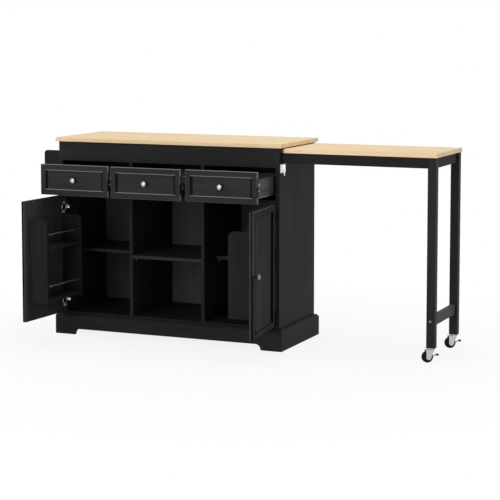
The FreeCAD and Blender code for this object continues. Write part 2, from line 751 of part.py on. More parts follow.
def door_leaf():
    """The moulded leaf with blind bores for the hinge cups."""
    leaf = moulded_front(FRONT_WIDTH, DOOR_HEIGHT, DOOR_FRAME).translated(point(DOOR_LEFT, FRONT_Y, DOOR_Z))
    for height in HINGE_HEIGHTS:
        centre = point(DOOR_LEFT + CUP_SETBACK, FRONT_IN, height)
        leaf = leaf.cut(rod(CUP_DIAMETER + 2 * FIT, centre - point(0, CUP_DEPTH + FIT, 0),
                            centre + point(0, OVERRUN, 0)))
    return leaf


def door_rack():
    """The two-tier rack on a door's inner face. It is made along Y and turned to run along X."""
    tiers = (RACK_SHELF_RISE, RACK_SHELF_RISE + RACK_PITCH)
    pieces = rack_pieces(RACK_DEPTH, RACK_HEIGHT, RACK_CORNER, RACK_WIDTH, tiers)
    for name, shape in pieces.items():
        along_door = shape.rotated(ORIGIN, ALONG_Z, 90)
        pieces[name] = along_door.translated(point(RACK_LEFT + RACK_WIDTH, FRONT_IN, RACK_Z))
    return pieces


def closed_left_door():
    rack = door_rack()
    return {"panel": door_leaf(),
            "hinges": Part.makeCompound([hinge_cup(height) for height in HINGE_HEIGHTS]),
            "rack_ends": rack["ends"],
            "rack_shelves": rack["shelves"],
            "rack_rails": rack["rails"]}


def door_knob():
    """The knob on the middle of a closed left door's free edge."""
    return knob(point(DOOR_LEFT + FRONT_WIDTH - DOOR_FRAME / 2, FRONT_Y, DOOR_Z + DOOR_HEIGHT / 2))


def doors():
    """Both doors, each turned open about its own hinge line. Only the right one has a knob."""
    pieces = {}
    left_axis = point(HINGE_X, HINGE_Y, 0)
    right_axis = point(-HINGE_X, HINGE_Y, 0)
    for name, shape in closed_left_door().items():
        pieces["left_door_" + name] = shape.rotated(left_axis, ALONG_Z, -LEFT_DOOR_ANGLE)
        pieces["right_door_" + name] = mirrored(shape).rotated(right_axis, ALONG_Z, RIGHT_DOOR_ANGLE)
    pieces["right_door_knob"] = mirrored(door_knob()).rotated(right_axis, ALONG_Z, RIGHT_DOOR_ANGLE)
    return pieces


# Sliding table


def table_top():
    top = board((TABLE_LEFT, TABLE_RIGHT), (TABLE_FRONT, TABLE_BACK), (TABLE_UNDER, TABLE_TOP_Z))
    return ease(top, TOP_ARRIS, at_height(TABLE_TOP_Z))


def apron(front):
    return board((TABLE_LEFT, LEG_LEFT), (front, front + APRON_THICKNESS), (APRON_Z, TABLE_UNDER))


def table_front_apron():
    """The front apron, with two sockets in its lower edge for the latch pin."""
    shape = apron(APRON_FRONT)
    for place in (BARREL_X, BARREL_X + TABLE_TRAVEL):
        low = point(place, LATCH_Y, APRON_Z - OVERRUN)
        high = point(place, LATCH_Y, APRON_Z + LATCH_SOCKET_DEPTH)
        shape = shape.cut(rod(LATCH_PIN_DIAMETER + 2 * LATCH_SOCKET_PLAY, low, high))
    return shape


def table_back_apron():
    return apron(APRON_BACK - APRON_THICKNESS)


def table_rails():
    """Two cross rails inside the frame. The right one drops behind the side panel and stops the table."""
    inner = (APRON_FRONT + APRON_THICKNESS, APRON_BACK - APRON_THICKNESS)
    left = board((TABLE_LEFT, TABLE_LEFT + APRON_THICKNESS), inner, (APRON_Z, TABLE_UNDER))
    stop_right = SIDE_IN - STOP_GAP
    stop = board((stop_right - APRON_THICKNESS, stop_right), inner, (APRON_Z - STOP_DROP, TABLE_UNDER))
    return Part.makeCompound([left, stop])


def table_end_apron():
    return board((LEG_CENTRE_X - APRON_THICKNESS / 2, LEG_CENTRE_X + APRON_THICKNESS / 2),
                 (LEG_FRONT + LEG_WIDTH, LEG_BACK - LEG_WIDTH), (APRON_Z, TABLE_UNDER))


def stretcher_bolt_place(way):
    """The outer face of a leg where its stretcher bolt sits. way is -1 in front and 1 behind."""
    face = LEG_FRONT if way < 0 else LEG_BACK
    return point(LEG_CENTRE_X, face, STRETCHER_RISE + STRETCHER_HEIGHT / 2)


def table_legs():
    legs = []
    for start in (LEG_FRONT, LEG_BACK - LEG_WIDTH):
        leg = board((LEG_LEFT, LEG_RIGHT), (start, start + LEG_WIDTH), (CASTER_HEIGHT, TABLE_UNDER))
        legs.append(ease(leg, LEG_ARRIS, upright))
    return Part.makeCompound(legs)


def table_stretcher():
    return board((LEG_CENTRE_X - STRETCHER_THICKNESS / 2, LEG_CENTRE_X + STRETCHER_THICKNESS / 2),
                 (LEG_FRONT + LEG_WIDTH, LEG_BACK - LEG_WIDTH),
                 (STRETCHER_RISE, STRETCHER_RISE + STRETCHER_HEIGHT))


def stretcher_bolts():
    """The heads of the bolts that hold the stretcher, one on the outer face of each leg."""
    heads = []
    for way in (-1, 1):
        face = stretcher_bolt_place(way)
        heads.append(rod(BOLT_HEAD, face, face + point(0, way * BOLT_HEAD_HEIGHT, 0)))
    return Part.makeCompound(heads)


# Spring latch


def latch_plate():
    """The plate on the side panel, with the barrel that guides the latch pin."""
    plate = board((SIDE_OUT, SIDE_OUT + LATCH_SHEET), (LATCH_Y - LATCH_WIDTH / 2, LATCH_Y + LATCH_WIDTH / 2),
                  (LATCH_TOP - LATCH_HEIGHT, LATCH_TOP))
    corners = [edge for edge in plate.Edges if abs(edge.Length - LATCH_SHEET) < FIT]
    plate = plate.makeFillet(LATCH_CORNER, corners)
    barrel = rod(BARREL_DIAMETER, point(BARREL_X, LATCH_Y, BARREL_Z), point(BARREL_X, LATCH_Y, BARREL_TOP))
    web = board((SIDE_OUT, BARREL_X), (LATCH_Y - BARREL_DIAMETER / 2, LATCH_Y + BARREL_DIAMETER / 2),
                (BARREL_Z, BARREL_TOP))
    bore = rod(LATCH_PIN_DIAMETER + 2 * RUNNING_GAP, point(BARREL_X, LATCH_Y, BARREL_Z - OVERRUN),
               point(BARREL_X, LATCH_Y, BARREL_TOP + OVERRUN))
    return plate.fuse([barrel, web]).cut(bore).removeSplitter()


def latch_pin():
    """The pin that locks the table, with the small turned knob that pulls it down. It is drawn unlocked."""
    top = APRON_Z - LATCH_PIN_TOP_GAP
    knob_top = BARREL_Z - LATCH_TRAVEL - RUNNING_GAP
    pin = round_bar(LATCH_PIN_DIAMETER, point(BARREL_X, LATCH_Y, knob_top), point(BARREL_X, LATCH_Y, top))
    wide = LATCH_KNOB_DIAMETER / 2
    narrow = wide - LATCH_KNOB_BEVEL
    outline = [(narrow, 0), (wide, LATCH_KNOB_BEVEL), (wide, LATCH_KNOB_HEIGHT - LATCH_KNOB_BEVEL),
               (narrow, LATCH_KNOB_HEIGHT)]
    pull = turned_upright(outline).translated(point(BARREL_X, LATCH_Y, knob_top - LATCH_KNOB_HEIGHT))
    return Part.makeCompound([pin, pull])


# Casters, made trailing towards minus X and then turned


def caster_plate():
    """The plate under a leg with the ball race and the kingpin that the fork turns on."""
    half = CASTER_PLATE / 2
    under = CASTER_HEIGHT - CASTER_PLATE_SHEET
    plate = board((-half, half), (-half, half), (under, CASTER_HEIGHT))
    plate = ease(plate, CASTER_PLATE_CORNER, upright)
    race_under = under - RACE_HEIGHT
    pin_under = race_under - FORK_SHEET - 2 * RUNNING_GAP
    outline = [(RACE_DIAMETER / 2, under), (RACE_DIAMETER / 2, race_under),
               (KINGPIN_DIAMETER / 2, race_under), (KINGPIN_DIAMETER / 2, pin_under),
               (KINGPIN_HEAD / 2, pin_under), (KINGPIN_HEAD / 2, pin_under - KINGPIN_HEAD_HEIGHT)]
    return plate.fuse(turned_upright(outline)).removeSplitter()


def fork_top():
    return CASTER_HEIGHT - CASTER_PLATE_SHEET - RACE_HEIGHT - RUNNING_GAP


def fork_cheek(start):
    """One broad side of the fork, whose rounded tail reaches below the axle."""
    top = fork_top() - FORK_SHEET / 2
    axle_z = WHEEL_DIAMETER / 2
    toe = (FORK_DISC / 2) * math.sqrt(0.5)
    tail_x = -(FORK_HEEL + FORK_TOE) / 2
    edges = [Part.makeLine(point(-FORK_HEEL, start, axle_z), point(-FORK_HEEL, start, top)),
             Part.makeLine(point(-FORK_HEEL, start, top), point(toe, start, top)),
             Part.makeLine(point(toe, start, top), point(-FORK_TOE, start, axle_z)),
             Part.Arc(point(-FORK_TOE, start, axle_z), point(tail_x, start, axle_z - FORK_TAIL),
                      point(-FORK_HEEL, start, axle_z)).toShape()]
    return closed_face(edges).extrude(point(0, FORK_SHEET, 0))


def fork_outside():
    """How far the fork's cheeks reach from its middle."""
    return WHEEL_WIDTH / 2 + WHEEL_PLAY + FORK_SHEET


def caster_fork():
    """The stamped fork with its riveted axle, which carries the brake lever outside one cheek."""
    top = fork_top()
    outer = fork_outside()
    bridge = board((-FORK_HEEL, 0), (-outer, outer), (top - FORK_SHEET, top))
    disc = turned_upright([(FORK_DISC / 2, top - FORK_SHEET), (FORK_DISC / 2, top)])
    bore = KINGPIN_DIAMETER / 2 + RUNNING_GAP
    fork = bridge.fuse([disc, fork_cheek(outer - FORK_SHEET), fork_cheek(-outer)])
    fork = fork.cut(turned_upright([(bore, top - FORK_SHEET - OVERRUN), (bore, top + OVERRUN)]))
    lever_end = outer + LEVER_SHEET + 2 * RUNNING_GAP
    outline = [(AXLE_HEAD / 2, -outer - AXLE_HEAD_HEIGHT), (AXLE_HEAD / 2, -outer),
               (AXLE_DIAMETER / 2, -outer), (AXLE_DIAMETER / 2, lever_end),
               (AXLE_HEAD / 2, lever_end), (AXLE_HEAD / 2, lever_end + AXLE_HEAD_HEIGHT)]
    axle = turned(outline, TURN_STEPS).translated(point(-CASTER_TRAIL, 0, WHEEL_DIAMETER / 2))
    return fork.fuse(axle).removeSplitter()


def caster_wheel():
    """A wheel with a rounded tyre and dished faces, bored for the axle."""
    half = WHEEL_WIDTH / 2
    bore = AXLE_DIAMETER / 2 + RUNNING_GAP
    side = [(bore, half), (HUB_DIAMETER / 2, half - HUB_DISH), (RIM_DIAMETER / 2, half)]
    for step in range(TYRE_STEPS + 1):
        angle = math.pi / 2 * step / TYRE_STEPS
        side.append((WHEEL_DIAMETER / 2 - TYRE_ROUND + TYRE_ROUND * math.sin(angle),
                     half - TYRE_ROUND + TYRE_ROUND * math.cos(angle)))
    other_side = [(radius, -place) for radius, place in reversed(side)]
    wheel = turned(side + other_side, WHEEL_STEPS, True)
    return wheel.translated(point(-CASTER_TRAIL, 0, WHEEL_DIAMETER / 2))


def brake_lever():
    """The brake lever: an eye on the axle, an arm past the wheel and a toe plate in front of it."""
    start = fork_outside() + RUNNING_GAP
    end = start + LEVER_SHEET
    axle_z = WHEEL_DIAMETER / 2
    half = LEVER_HEIGHT / 2
    eye = round_bar(LEVER_EYE, point(-CASTER_TRAIL, start, axle_z), point(-CASTER_TRAIL, end, axle_z))
    corners = [point(-CASTER_TRAIL, start, axle_z - half), point(LEVER_KNEE, start, axle_z - half),
               point(LEVER_REACH, start, axle_z + LEVER_RISE - half),
               point(LEVER_REACH, start, axle_z + LEVER_RISE + half),
               point(LEVER_KNEE, start, axle_z + half), point(-CASTER_TRAIL, start, axle_z + half)]
    arm = polygon_face(corners).extrude(point(0, LEVER_SHEET, 0))
    toe_z = axle_z + LEVER_RISE - LEVER_TOE_HEIGHT / 2
    toe = board((LEVER_REACH - LEVER_TOE_LENGTH, LEVER_REACH), (end - LEVER_TOE_WIDTH, end),
                (toe_z, toe_z + LEVER_TOE_HEIGHT))
    bore = round_bar(AXLE_DIAMETER + 2 * RUNNING_GAP, point(-CASTER_TRAIL, start - OVERRUN, axle_z),
                     point(-CASTER_TRAIL, end + OVERRUN, axle_z))
    return eye.fuse([arm, toe]).cut(bore).removeSplitter()


def casters():
    """Two swivel casters, each trailing in its own direction."""
    moving = {"fork": caster_fork(), "wheel": caster_wheel(), "brake_lever": brake_lever()}
    pieces = {}
    plates = []
    for name, leg_y, angle in zip(("front", "back"), (FRONT_LEG_Y, BACK_LEG_Y), TRAIL_ANGLES):
        place = point(LEG_CENTRE_X, leg_y, 0)
        plates.append(caster_plate().translated(place))
        for piece, shape in moving.items():
            swivelled = shape.rotated(ORIGIN, ALONG_Z, angle - 180)
            pieces["%s_caster_%s" % (name, piece)] = swivelled.translated(place)
    pieces["caster_plates"] = Part.makeCompound(plates)
    return pieces


def all_pieces():
    pieces = {"main_top": worktop(), "frieze_board": frieze_board(), "left_side_panel": left_side_panel(),
              "right_side_panel": right_side_panel(), "dividers": dividers(), "bottom_panel": bottom_panel(),
              "drawer_decks": drawer_decks(), "side_shelves": side_shelves(), "centre_shelf": centre_shelf(),
              "shelf_supports": shelf_supports(), "back_panel": back_panel(), "table_guides": table_guides(),
              "plinth_front": plinth_front(), "plinth_back": plinth_back(), "plinth_sides": plinth_sides(),
              "drawer_channels": cabinet_rails(), "hinge_arms": hinge_arms(), "latch_plate": latch_plate(),
              "latch_pin": latch_pin(), "table_top": table_top(), "table_front_apron": table_front_apron(),
              "table_back_apron": table_back_apron(), "table_rails": table_rails(),
              "table_end_apron": table_end_apron(), "table_legs": table_legs(),
              "table_stretcher": table_stretcher(), "stretcher_bolts": stretcher_bolts()}
    pieces.update(side_rack())
    for bay in range(BAYS):
        pieces.update(drawer(bay))
    pieces.update(doors())
    pieces.update(casters())
    return pieces


def main():
    os.makedirs("parts", exist_ok=True)
    pieces = all_pieces()
    whole = Part.makeCompound(list(pieces.values())).BoundBox
    under_middle = point(whole.Center.x, whole.Center.y, 0)
    for name, shape in pieces.items():
        shape.translated(-under_middle).exportStep("parts/%s.step" % name)


main()
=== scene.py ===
import json
import math

import bmesh
import bpy
import numpy as np
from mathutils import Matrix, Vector


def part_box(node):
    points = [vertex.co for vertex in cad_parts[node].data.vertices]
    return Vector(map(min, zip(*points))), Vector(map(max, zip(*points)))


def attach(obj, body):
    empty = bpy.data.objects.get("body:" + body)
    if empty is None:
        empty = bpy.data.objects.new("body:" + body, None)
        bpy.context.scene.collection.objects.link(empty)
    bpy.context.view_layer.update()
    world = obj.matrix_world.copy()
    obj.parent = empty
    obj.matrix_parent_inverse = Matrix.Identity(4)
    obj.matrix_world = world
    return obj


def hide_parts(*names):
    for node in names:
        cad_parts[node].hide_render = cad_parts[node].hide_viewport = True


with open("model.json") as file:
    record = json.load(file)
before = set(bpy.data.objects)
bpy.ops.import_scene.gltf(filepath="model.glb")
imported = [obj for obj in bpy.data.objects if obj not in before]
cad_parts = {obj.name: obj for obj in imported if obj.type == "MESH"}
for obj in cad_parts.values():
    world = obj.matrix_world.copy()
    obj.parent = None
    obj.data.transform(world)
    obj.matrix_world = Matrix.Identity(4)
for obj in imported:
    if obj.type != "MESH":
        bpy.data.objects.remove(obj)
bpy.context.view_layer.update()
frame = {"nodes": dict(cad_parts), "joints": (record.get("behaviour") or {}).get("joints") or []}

# Looks of the kitchen island. Pieces are worked out in millimetres and set in the frame's metres.

MM = 0.001
JOINTS = {joint["name"]: joint for joint in frame["joints"]}
NODES = frame["nodes"]
UP = np.array((0.0, 0.0, 1.0))
DRAWERS = ("drawer_1", "drawer_2", "drawer_3")
DOORS = ("left_door", "right_door")


# Shader maths: an expression on sockets adds the nodes that work it out


class Wire:
    """One output socket. Arithmetic with numbers or other wires adds Math nodes."""

    def __init__(self, nodes, socket):
        self.nodes = nodes
        self.socket = socket

    def __add__(self, other):
        return self.nodes.math("ADD", self, other)

    def __radd__(self, other):
        return self.nodes.math("ADD", other, self)

    def __sub__(self, other):
        return self.nodes.math("SUBTRACT", self, other)

    def __rsub__(self, other):
        return self.nodes.math("SUBTRACT", other, self)

    def __mul__(self, other):
        return self.nodes.math("MULTIPLY", self, other)

    def __rmul__(self, other):
        return self.nodes.math("MULTIPLY", other, self)

    def __abs__(self):
        return self.nodes.math("ABSOLUTE", self)


class Nodes:
    """The node tree of a material or of the world, filled by expressions."""

    def __init__(self, tree, output_kind):
        self.tree = tree
        self.tree.nodes.clear()
        self.output = self.tree.nodes.new(output_kind)

    def show(self, shader):
        """Links a shader to the tree's output."""
        self.put(self.output.inputs[0], shader)

    def put(self, socket, value):
        """Links a wire to a socket, or writes a number or a colour on it."""
        if isinstance(value, Wire):
            self.tree.links.new(value.socket, socket)
        elif isinstance(value, tuple) and len(value) == 3 and socket.type == "RGBA":
            socket.default_value = value + (1.0,)
        else:
            socket.default_value = value

    def node(self, kind, settings, inputs, output=0):
        """Adds a node, its settings first and then its sockets, and gives one of its outputs."""
        node = self.tree.nodes.new(kind)
        for setting, value in settings.items():
            setattr(node, setting, value)
        for socket, value in inputs.items():
            self.put(node.inputs[socket], value)
        return Wire(self, node.outputs[output])

    def math(self, operation, *values):
        """A Math node on numbers and wires."""
        return self.node("ShaderNodeMath", {"operation": operation}, dict(enumerate(values)))

    def step(self, value, low, high):
        """0 below low, 1 above high, straight in between."""
        return self.node("ShaderNodeMapRange", {"clamp": True},
                         {"Value": value, "From Min": low, "From Max": high})

    def seen(self):
        """1 on rays from the camera, a reflection or glass, and 0 on the light that falls on things."""
        camera, glossy, through = (self.node("ShaderNodeLightPath", {}, {}, "Is %s Ray" % kind)
                                   for kind in ("Camera", "Glossy", "Transmission"))
        return self.math("MAXIMUM", self.math("MAXIMUM", camera, glossy), through)


class Finish(Nodes):
    """A node material whose varying values are written as expressions."""

    def __init__(self, name, **constants):
        self.material = bpy.data.materials.new(name)
        self.material.use_nodes = True
        super().__init__(self.material.node_tree, "ShaderNodeOutputMaterial")
        self.shader = self.tree.nodes.new("ShaderNodeBsdfPrincipled")
        self.surface = Wire(self, self.shader.outputs[0])
        self.show(self.surface)
        self.feed(**constants)

    def feed(self, **values):
        """Writes numbers and colours on the shader's sockets, or links worked-out values to them."""
        for socket, value in values.items():
            self.put(self.shader.inputs[socket.replace("_", " ")], value)
        return self.material

    def here(self):
        """Object coordinates."""
        return self.node("ShaderNodeTexCoord", {}, {}, "Object")

    def beyond(self, level, axis="Z"):
        """How far a point lies beyond a level along one axis."""
        return self.node("ShaderNodeSeparateXYZ", {}, {0: self.here()}, "XYZ".index(axis)) - level

    def rise(self, distance, limits):
        """0 before the first of two limits in millimetres, 1 after the second."""
        return self.step(distance, limits[0] * MM, limits[1] * MM)

    def noise(self, stretch, shift=(0.0, 0.0, 0.0), detail=3.0, roughness=0.5):
        """Cloudy noise from 0 to 1 over stretched and shifted Object coordinates."""
        place = self.node("ShaderNodeMapping", {},
                          {"Vector": self.here(), "Location": shift, "Scale": stretch})
        return self.node("ShaderNodeTexNoise", {},
                         {"Vector": place, "Scale": 1.0, "Detail": detail, "Roughness": roughness})

    def mix(self, share, first, second):
        """A colour between two colours."""
        return self.node("ShaderNodeMix", {"data_type": "RGBA"}, {"Factor": share, 6: first, 7: second}, 2)

    def scaled(self, colour, factor):
        """A colour wire made lighter or darker by a factor."""
        return self.node("ShaderNodeVectorMath", {"operation": "SCALE"}, {0: colour, "Scale": factor})

    def bump(self, height, depth, strength):
        """A normal bent by a height whose full range is a depth in millimetres."""
        return self.node("ShaderNodeBump", {},
                         {"Height": height, "Distance": depth * MM, "Strength": strength})


def along(axis, lengthwise, crosswise):
    """Stretch factors for a grain that runs along one axis."""
    return tuple(lengthwise if axis == each else crosswise for each in "XYZ")


def even(factor):
    """The same stretch factor along every axis."""
    return (factor, factor, factor)


def shaded(colour, factor):
    """A colour made lighter or darker by a factor."""
    return tuple(level * factor for level in colour)


# Colours, darker and paler where there are two

OAK_FACE = (0.69, 0.52, 0.300), (0.79, 0.622, 0.390)
# The edges' own warmer band, made paler as painted light for their upright faces
OAK_EDGE = (0.86, 0.62, 0.37), (0.96, 0.74, 0.47)
OAK_PORE = (0.44, 0.28, 0.14)
# The colour of the painted shadow where another top lies over an oak top
OAK_PAINTED_SHADOW = (0.04, 0.025, 0.015)
BLACK_BOARD = (0.0125, 0.0130, 0.0125), (0.0250, 0.0257, 0.0247)
# Colours of painted light and shade: black for painted shade, a pale line for the painted highlight along the
# drawers' ledges, and a paler arris for their painted highlight
PAINTED_SHADE_BLACK = (0.003, 0.003, 0.003)
PAINTED_HIGHLIGHT_LINE = (0.28, 0.27, 0.255)
PAINTED_ARRIS_HIGHLIGHT = (0.17, 0.165, 0.16)
DRAWER_GREY = (0.040, 0.037, 0.034), (0.060, 0.056, 0.052)
RUNNER_EDGE = (0.20, 0.195, 0.19)
RUNNER_COAT = (0.042, 0.039, 0.036)
HINGE_ARM = (0.30, 0.30, 0.30)
HINGE_PLATE = (0.12, 0.12, 0.12)
TYRE_BLACK = (0.008, 0.008, 0.009)
TYRE_DUST = (0.045, 0.044, 0.042)

# Where the bands of painted light and shade on the moulded fronts start and end: depths behind the front
# face, distances from its edges, and heights above its middle

LEDGE_DEPTH = (0.6, 1.0)
PANEL_BACK_DEPTH = (8.5, 9.5)
LEDGE_REACH = (2.3, 3.0)
MOULDING_REACH = (10.0, 11.0)
ARRIS_DEPTH = (1.5, 1.9)
ARRIS_REACH = (1.3, 1.7)
UPPER_HALF = (0.0, 10.0)

# The oak tops: where an edge turns into the face, where the painted shadow under a covering top ends, and how
# far off a top the painted shadow stays where nothing covers it

OAK_FACE_RISE = (-2.2, -1.6)
OAK_SHADOW_EDGE = (-2.0, 2.0)
OAK_UNCOVERED = 10.0

# Other pieces: the legs' outer faces and the factor of their painted light, the back panel's back face, the
# end of the runners' worn edge, the hinge arms' half width and the start of their tongues, painted black as
# shade, and half the height of a hinge

OUTER_FACE = (-0.6, -0.3)
OUTER_PAINTED_LIGHT = 1.6
BACK_FACE = (-1.0, 0.0)
RUNNER_WORN = (2.5, 4.0)
HINGE_ARM_HALF = (7.6, 8.2)
HINGE_TONGUE = (19.0, 21.0)
HINGE_HALF_HEIGHT = 24.0


def oak(name, top, covered):
    """Oak laminate: long pale streaks, warm bands and fine dark pores along X. Its edges have their own band,
    paler and a little warmer, partly painted light for the upright faces. Before the covered level along X,
    where another top lies over it, it carries a painted shadow."""
    f = Finish("oak_laminate_" + name, Specular_IOR_Level=0.10)
    bands = f.noise(along("X", 0.9, 11.0), detail=2.0)
    streaks = f.noise(along("X", 2.2, 95.0), shift=(3.0, 1.0, 2.0), detail=4.0, roughness=0.6)
    pores = f.step(f.noise(along("X", 14.0, 620.0), shift=(7.0, 5.0, 1.0), detail=2.0), 0.56, 0.66)
    tone = f.step(bands * 0.55 + streaks * 0.45, 0.36, 0.62)
    # The edge colours are partly the edge band's own and partly painted light for the upright faces
    colour = f.mix(f.rise(f.beyond(top), OAK_FACE_RISE), f.mix(tone, *OAK_EDGE), f.mix(tone, *OAK_FACE))
    colour = f.mix(pores * 0.30, colour, OAK_PORE)
    # Painted shadow: dark before the covered level, where another top lies over this one
    shadow = 1.0 - f.rise(f.beyond(covered, "X"), OAK_SHADOW_EDGE)
    colour = f.mix(shadow * 0.9, colour, OAK_PAINTED_SHADOW)
    return f.feed(Base_Color=colour, Roughness=0.42 + streaks * 0.16,
                  Normal=f.bump(streaks * 0.4 - pores * 0.6, 0.12, 0.6))


def black_grain(f, axis, shade):
    """Colour, roughness and relief of black board with an embossed wood grain along one axis. Its colour is
    scaled by a factor that paints light or shade into it.
    """
    drift = f.noise(along(axis, 1.6, 9.0), detail=2.0)
    grain = f.noise(along(axis, 7.0, 330.0), shift=(1.0, 2.0, 5.0), detail=4.0, roughness=0.65)
    pores = f.step(f.noise(along(axis, 20.0, 900.0), shift=(4.0, 0.0, 2.0), detail=2.0), 0.55, 0.68)
    tone = f.step(drift * 0.4 + grain * 0.6, 0.35, 0.65)
    colour = f.mix(tone, *(shaded(level, shade) for level in BLACK_BOARD))
    return colour, 0.46 + grain * 0.16, f.bump(grain * 0.6 - pores * 0.7, 0.16, 0.6)


def board(axis, shade=1.0, behind=None, outer=None):
    """Plain black board, its colour made lighter or darker by a factor of painted light and shade. Further
    back than the level behind, it is darker, which takes the back panel's painted light off its back face,
    and further right than the level outer, it is paler with painted light."""
    f = Finish("black_board_%s_%d" % (axis, 100 * shade), Specular_IOR_Level=0.04)
    colour, roughness, relief = black_grain(f, axis, shade)
    # The back panel's back face is darkened, which takes off the painted light of its inside
    if behind is not None:
        colour = f.mix(f.rise(f.beyond(behind, "Y"), BACK_FACE) * 0.75, colour, PAINTED_SHADE_BLACK)
    # Painted light: the legs' outer faces are made paler
    if outer is not None:
        colour = f.mix(f.rise(f.beyond(outer, "X"), OUTER_FACE), colour, f.scaled(colour, OUTER_PAINTED_LIGHT))
    return f.feed(Base_Color=colour, Roughness=roughness, Normal=relief)


def moulded_board(node, out, axis, frame_width, shade, lift, line, fade, gloss):
    """Black board of a moulded front that faces out. Its sunk part is painted a little lighter, the ledge
    round that has a painted line of one colour along the top and bottom, the upright runs of the moulding are
    painted dark as shade that fades out over the panel, and the arris along the front's top and the upper
    half of its ends has a painted highlight."""
    f = Finish("black_moulded_" + node, Specular_IOR_Level=gloss)
    colour, roughness, relief = black_grain(f, axis, shade)
    points = corners_of(node)

    def measured(way):
        """How far a place lies from the front's middle along a direction, and half the front's size there."""
        low, high = (points @ way).min(), (points @ way).max()
        place = f.node("ShaderNodeVectorMath", {"operation": "DOT_PRODUCT"}, {0: f.here(), 1: tuple(way)}, 1)
        return place - (low + high) / 2, (high - low) / 2

    forwards, half_thickness = measured(out)
    sideways, half_width = measured(np.cross(UP, out))
    height, half_height = measured(UP)
    depth = half_thickness - forwards
    from_end = half_width - abs(sideways)
    from_top = half_height - abs(height)
    sunk = f.rise(depth, LEDGE_DEPTH) * (1.0 - f.rise(depth, PANEL_BACK_DEPTH))
    moulding = (frame_width + MOULDING_REACH[0], frame_width + MOULDING_REACH[1] + fade)
    upright = sunk * (1.0 - f.rise(from_end, moulding))
    level = sunk * (1.0 - f.rise(from_top, tuple(frame_width + reach for reach in LEDGE_REACH)))
    arris_highlight = (1.0 - f.rise(depth, ARRIS_DEPTH)) * f.rise(height, UPPER_HALF)
    arris_highlight = arris_highlight * (1.0 - f.rise(f.math("MINIMUM", from_end, from_top), ARRIS_REACH))
    # Painted light and shade: a lighter sunk part, dark shade on the upright runs, the ledge's painted line,
    # and a painted highlight on the arris
    colour = f.mix(sunk, colour, f.scaled(colour, 1.0 + lift))
    colour = f.mix(upright * 0.95, colour, PAINTED_SHADE_BLACK)
    colour = f.mix(level * 0.9, colour, line)
    colour = f.mix(arris_highlight * 0.9, colour, PAINTED_ARRIS_HIGHLIGHT)
    return f.feed(Base_Color=colour, Roughness=roughness, Normal=relief)


def drawer_board():
    """Grey-brown drawer sides with a faint grain along their length."""
    f = Finish("grey_drawer_board", Specular_IOR_Level=0.30)
    grain = f.noise(along("Y", 5.0, 260.0))
    return f.feed(Base_Color=f.mix(f.step(grain, 0.35, 0.65), *DRAWER_GREY), Roughness=0.46 + grain * 0.15,
                  Normal=f.bump(grain, 0.1, 0.4))


def metal(name, colour, roughness, worn):
    """Satin metal: a fine cloudy polish, with slightly duller patches."""
    f = Finish(name, Metallic=1.0)
    cloud = f.noise(even(60.0))
    polish = f.noise((900.0, 900.0, 108.0), detail=2.0)
    return f.feed(Base_Color=f.mix(f.step(cloud, 0.35, 0.7) * 0.5, colour, shaded(colour, worn)),
                  Roughness=roughness + cloud * 0.10 + polish * 0.06, Normal=f.bump(polish, 0.03, 0.3))


def runner_steel(low):
    """Steel runner with a grey coat. Its lowest edge is worn bright."""
    f = Finish("runner_steel", Specular_IOR_Level=0.15)
    coat = f.rise(f.beyond(low), RUNNER_WORN)
    cloud = f.noise(even(60.0))
    return f.feed(Base_Color=f.mix(coat, RUNNER_EDGE, RUNNER_COAT), Metallic=1.0 - coat,
                  Roughness=0.36 + cloud * 0.12, Normal=f.bump(cloud, 0.03, 0.3))


def hinge_steel():
    """Nickel-plated hinge arms: bright on the arm, dull on the plate above and below it, and painted black on
    the tongue as shade."""
    f = Finish("hinge_steel", Metallic=1.0)
    low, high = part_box("hinge_arms")
    middles = (low.z + HINGE_HALF_HEIGHT * MM, high.z - HINGE_HALF_HEIGHT * MM)
    plate = f.rise(f.math("MINIMUM", *(abs(f.beyond(middle)) for middle in middles)), HINGE_ARM_HALF)
    cloud = f.noise(even(60.0))
    nickel = f.mix(plate, HINGE_ARM, HINGE_PLATE)
    # Painted shade: the tongue is painted black
    colour = f.mix(f.rise(f.beyond(low.y, "Y"), HINGE_TONGUE), PAINTED_SHADE_BLACK, nickel)
    return f.feed(Base_Color=colour, Roughness=0.30 + plate * 0.15 + cloud * 0.08,
                  Normal=f.bump(cloud, 0.03, 0.3))


def moulded(name, colour, roughness):
    """Moulded plastic or hard rubber with a fine spark-eroded texture."""
    f = Finish(name, Specular_IOR_Level=0.10)
    skin = f.noise(even(700.0), detail=2.0)
    cloud = f.noise(even(35.0), detail=2.0)
    return f.feed(Base_Color=f.mix(cloud * 0.5, colour, shaded(colour, 0.72)),
                  Roughness=roughness + skin * 0.12, Normal=f.bump(skin, 0.04, 0.5))


def tyre_rubber():
    """Black rubber, a little dusty where it rolls."""
    f = Finish("tyre_rubber", Specular_IOR_Level=0.08)
    dust = f.noise(even(55.0), detail=4.0, roughness=0.6)
    skin = f.noise(even(1400.0), detail=2.0)
    return f.feed(Base_Color=f.mix(f.step(dust, 0.55, 0.75) * 0.30, TYRE_BLACK, TYRE_DUST),
                  Roughness=0.50 + dust * 0.2, Normal=f.bump(skin, 0.06, 0.4))


def corners_of(name):
    """All corner points of a CAD node, one row each."""
    mesh = NODES[name].data
    flat = np.empty(len(mesh.vertices) * 3)
    mesh.vertices.foreach_get("co", flat)
    return flat.reshape(-1, 3)


def faced_front(degrees):
    """The way out of a front, forwards when shut, after a turn in degrees about the upright axis."""
    turn = math.radians(degrees)
    return np.array((math.sin(turn), -math.cos(turn), 0.0))


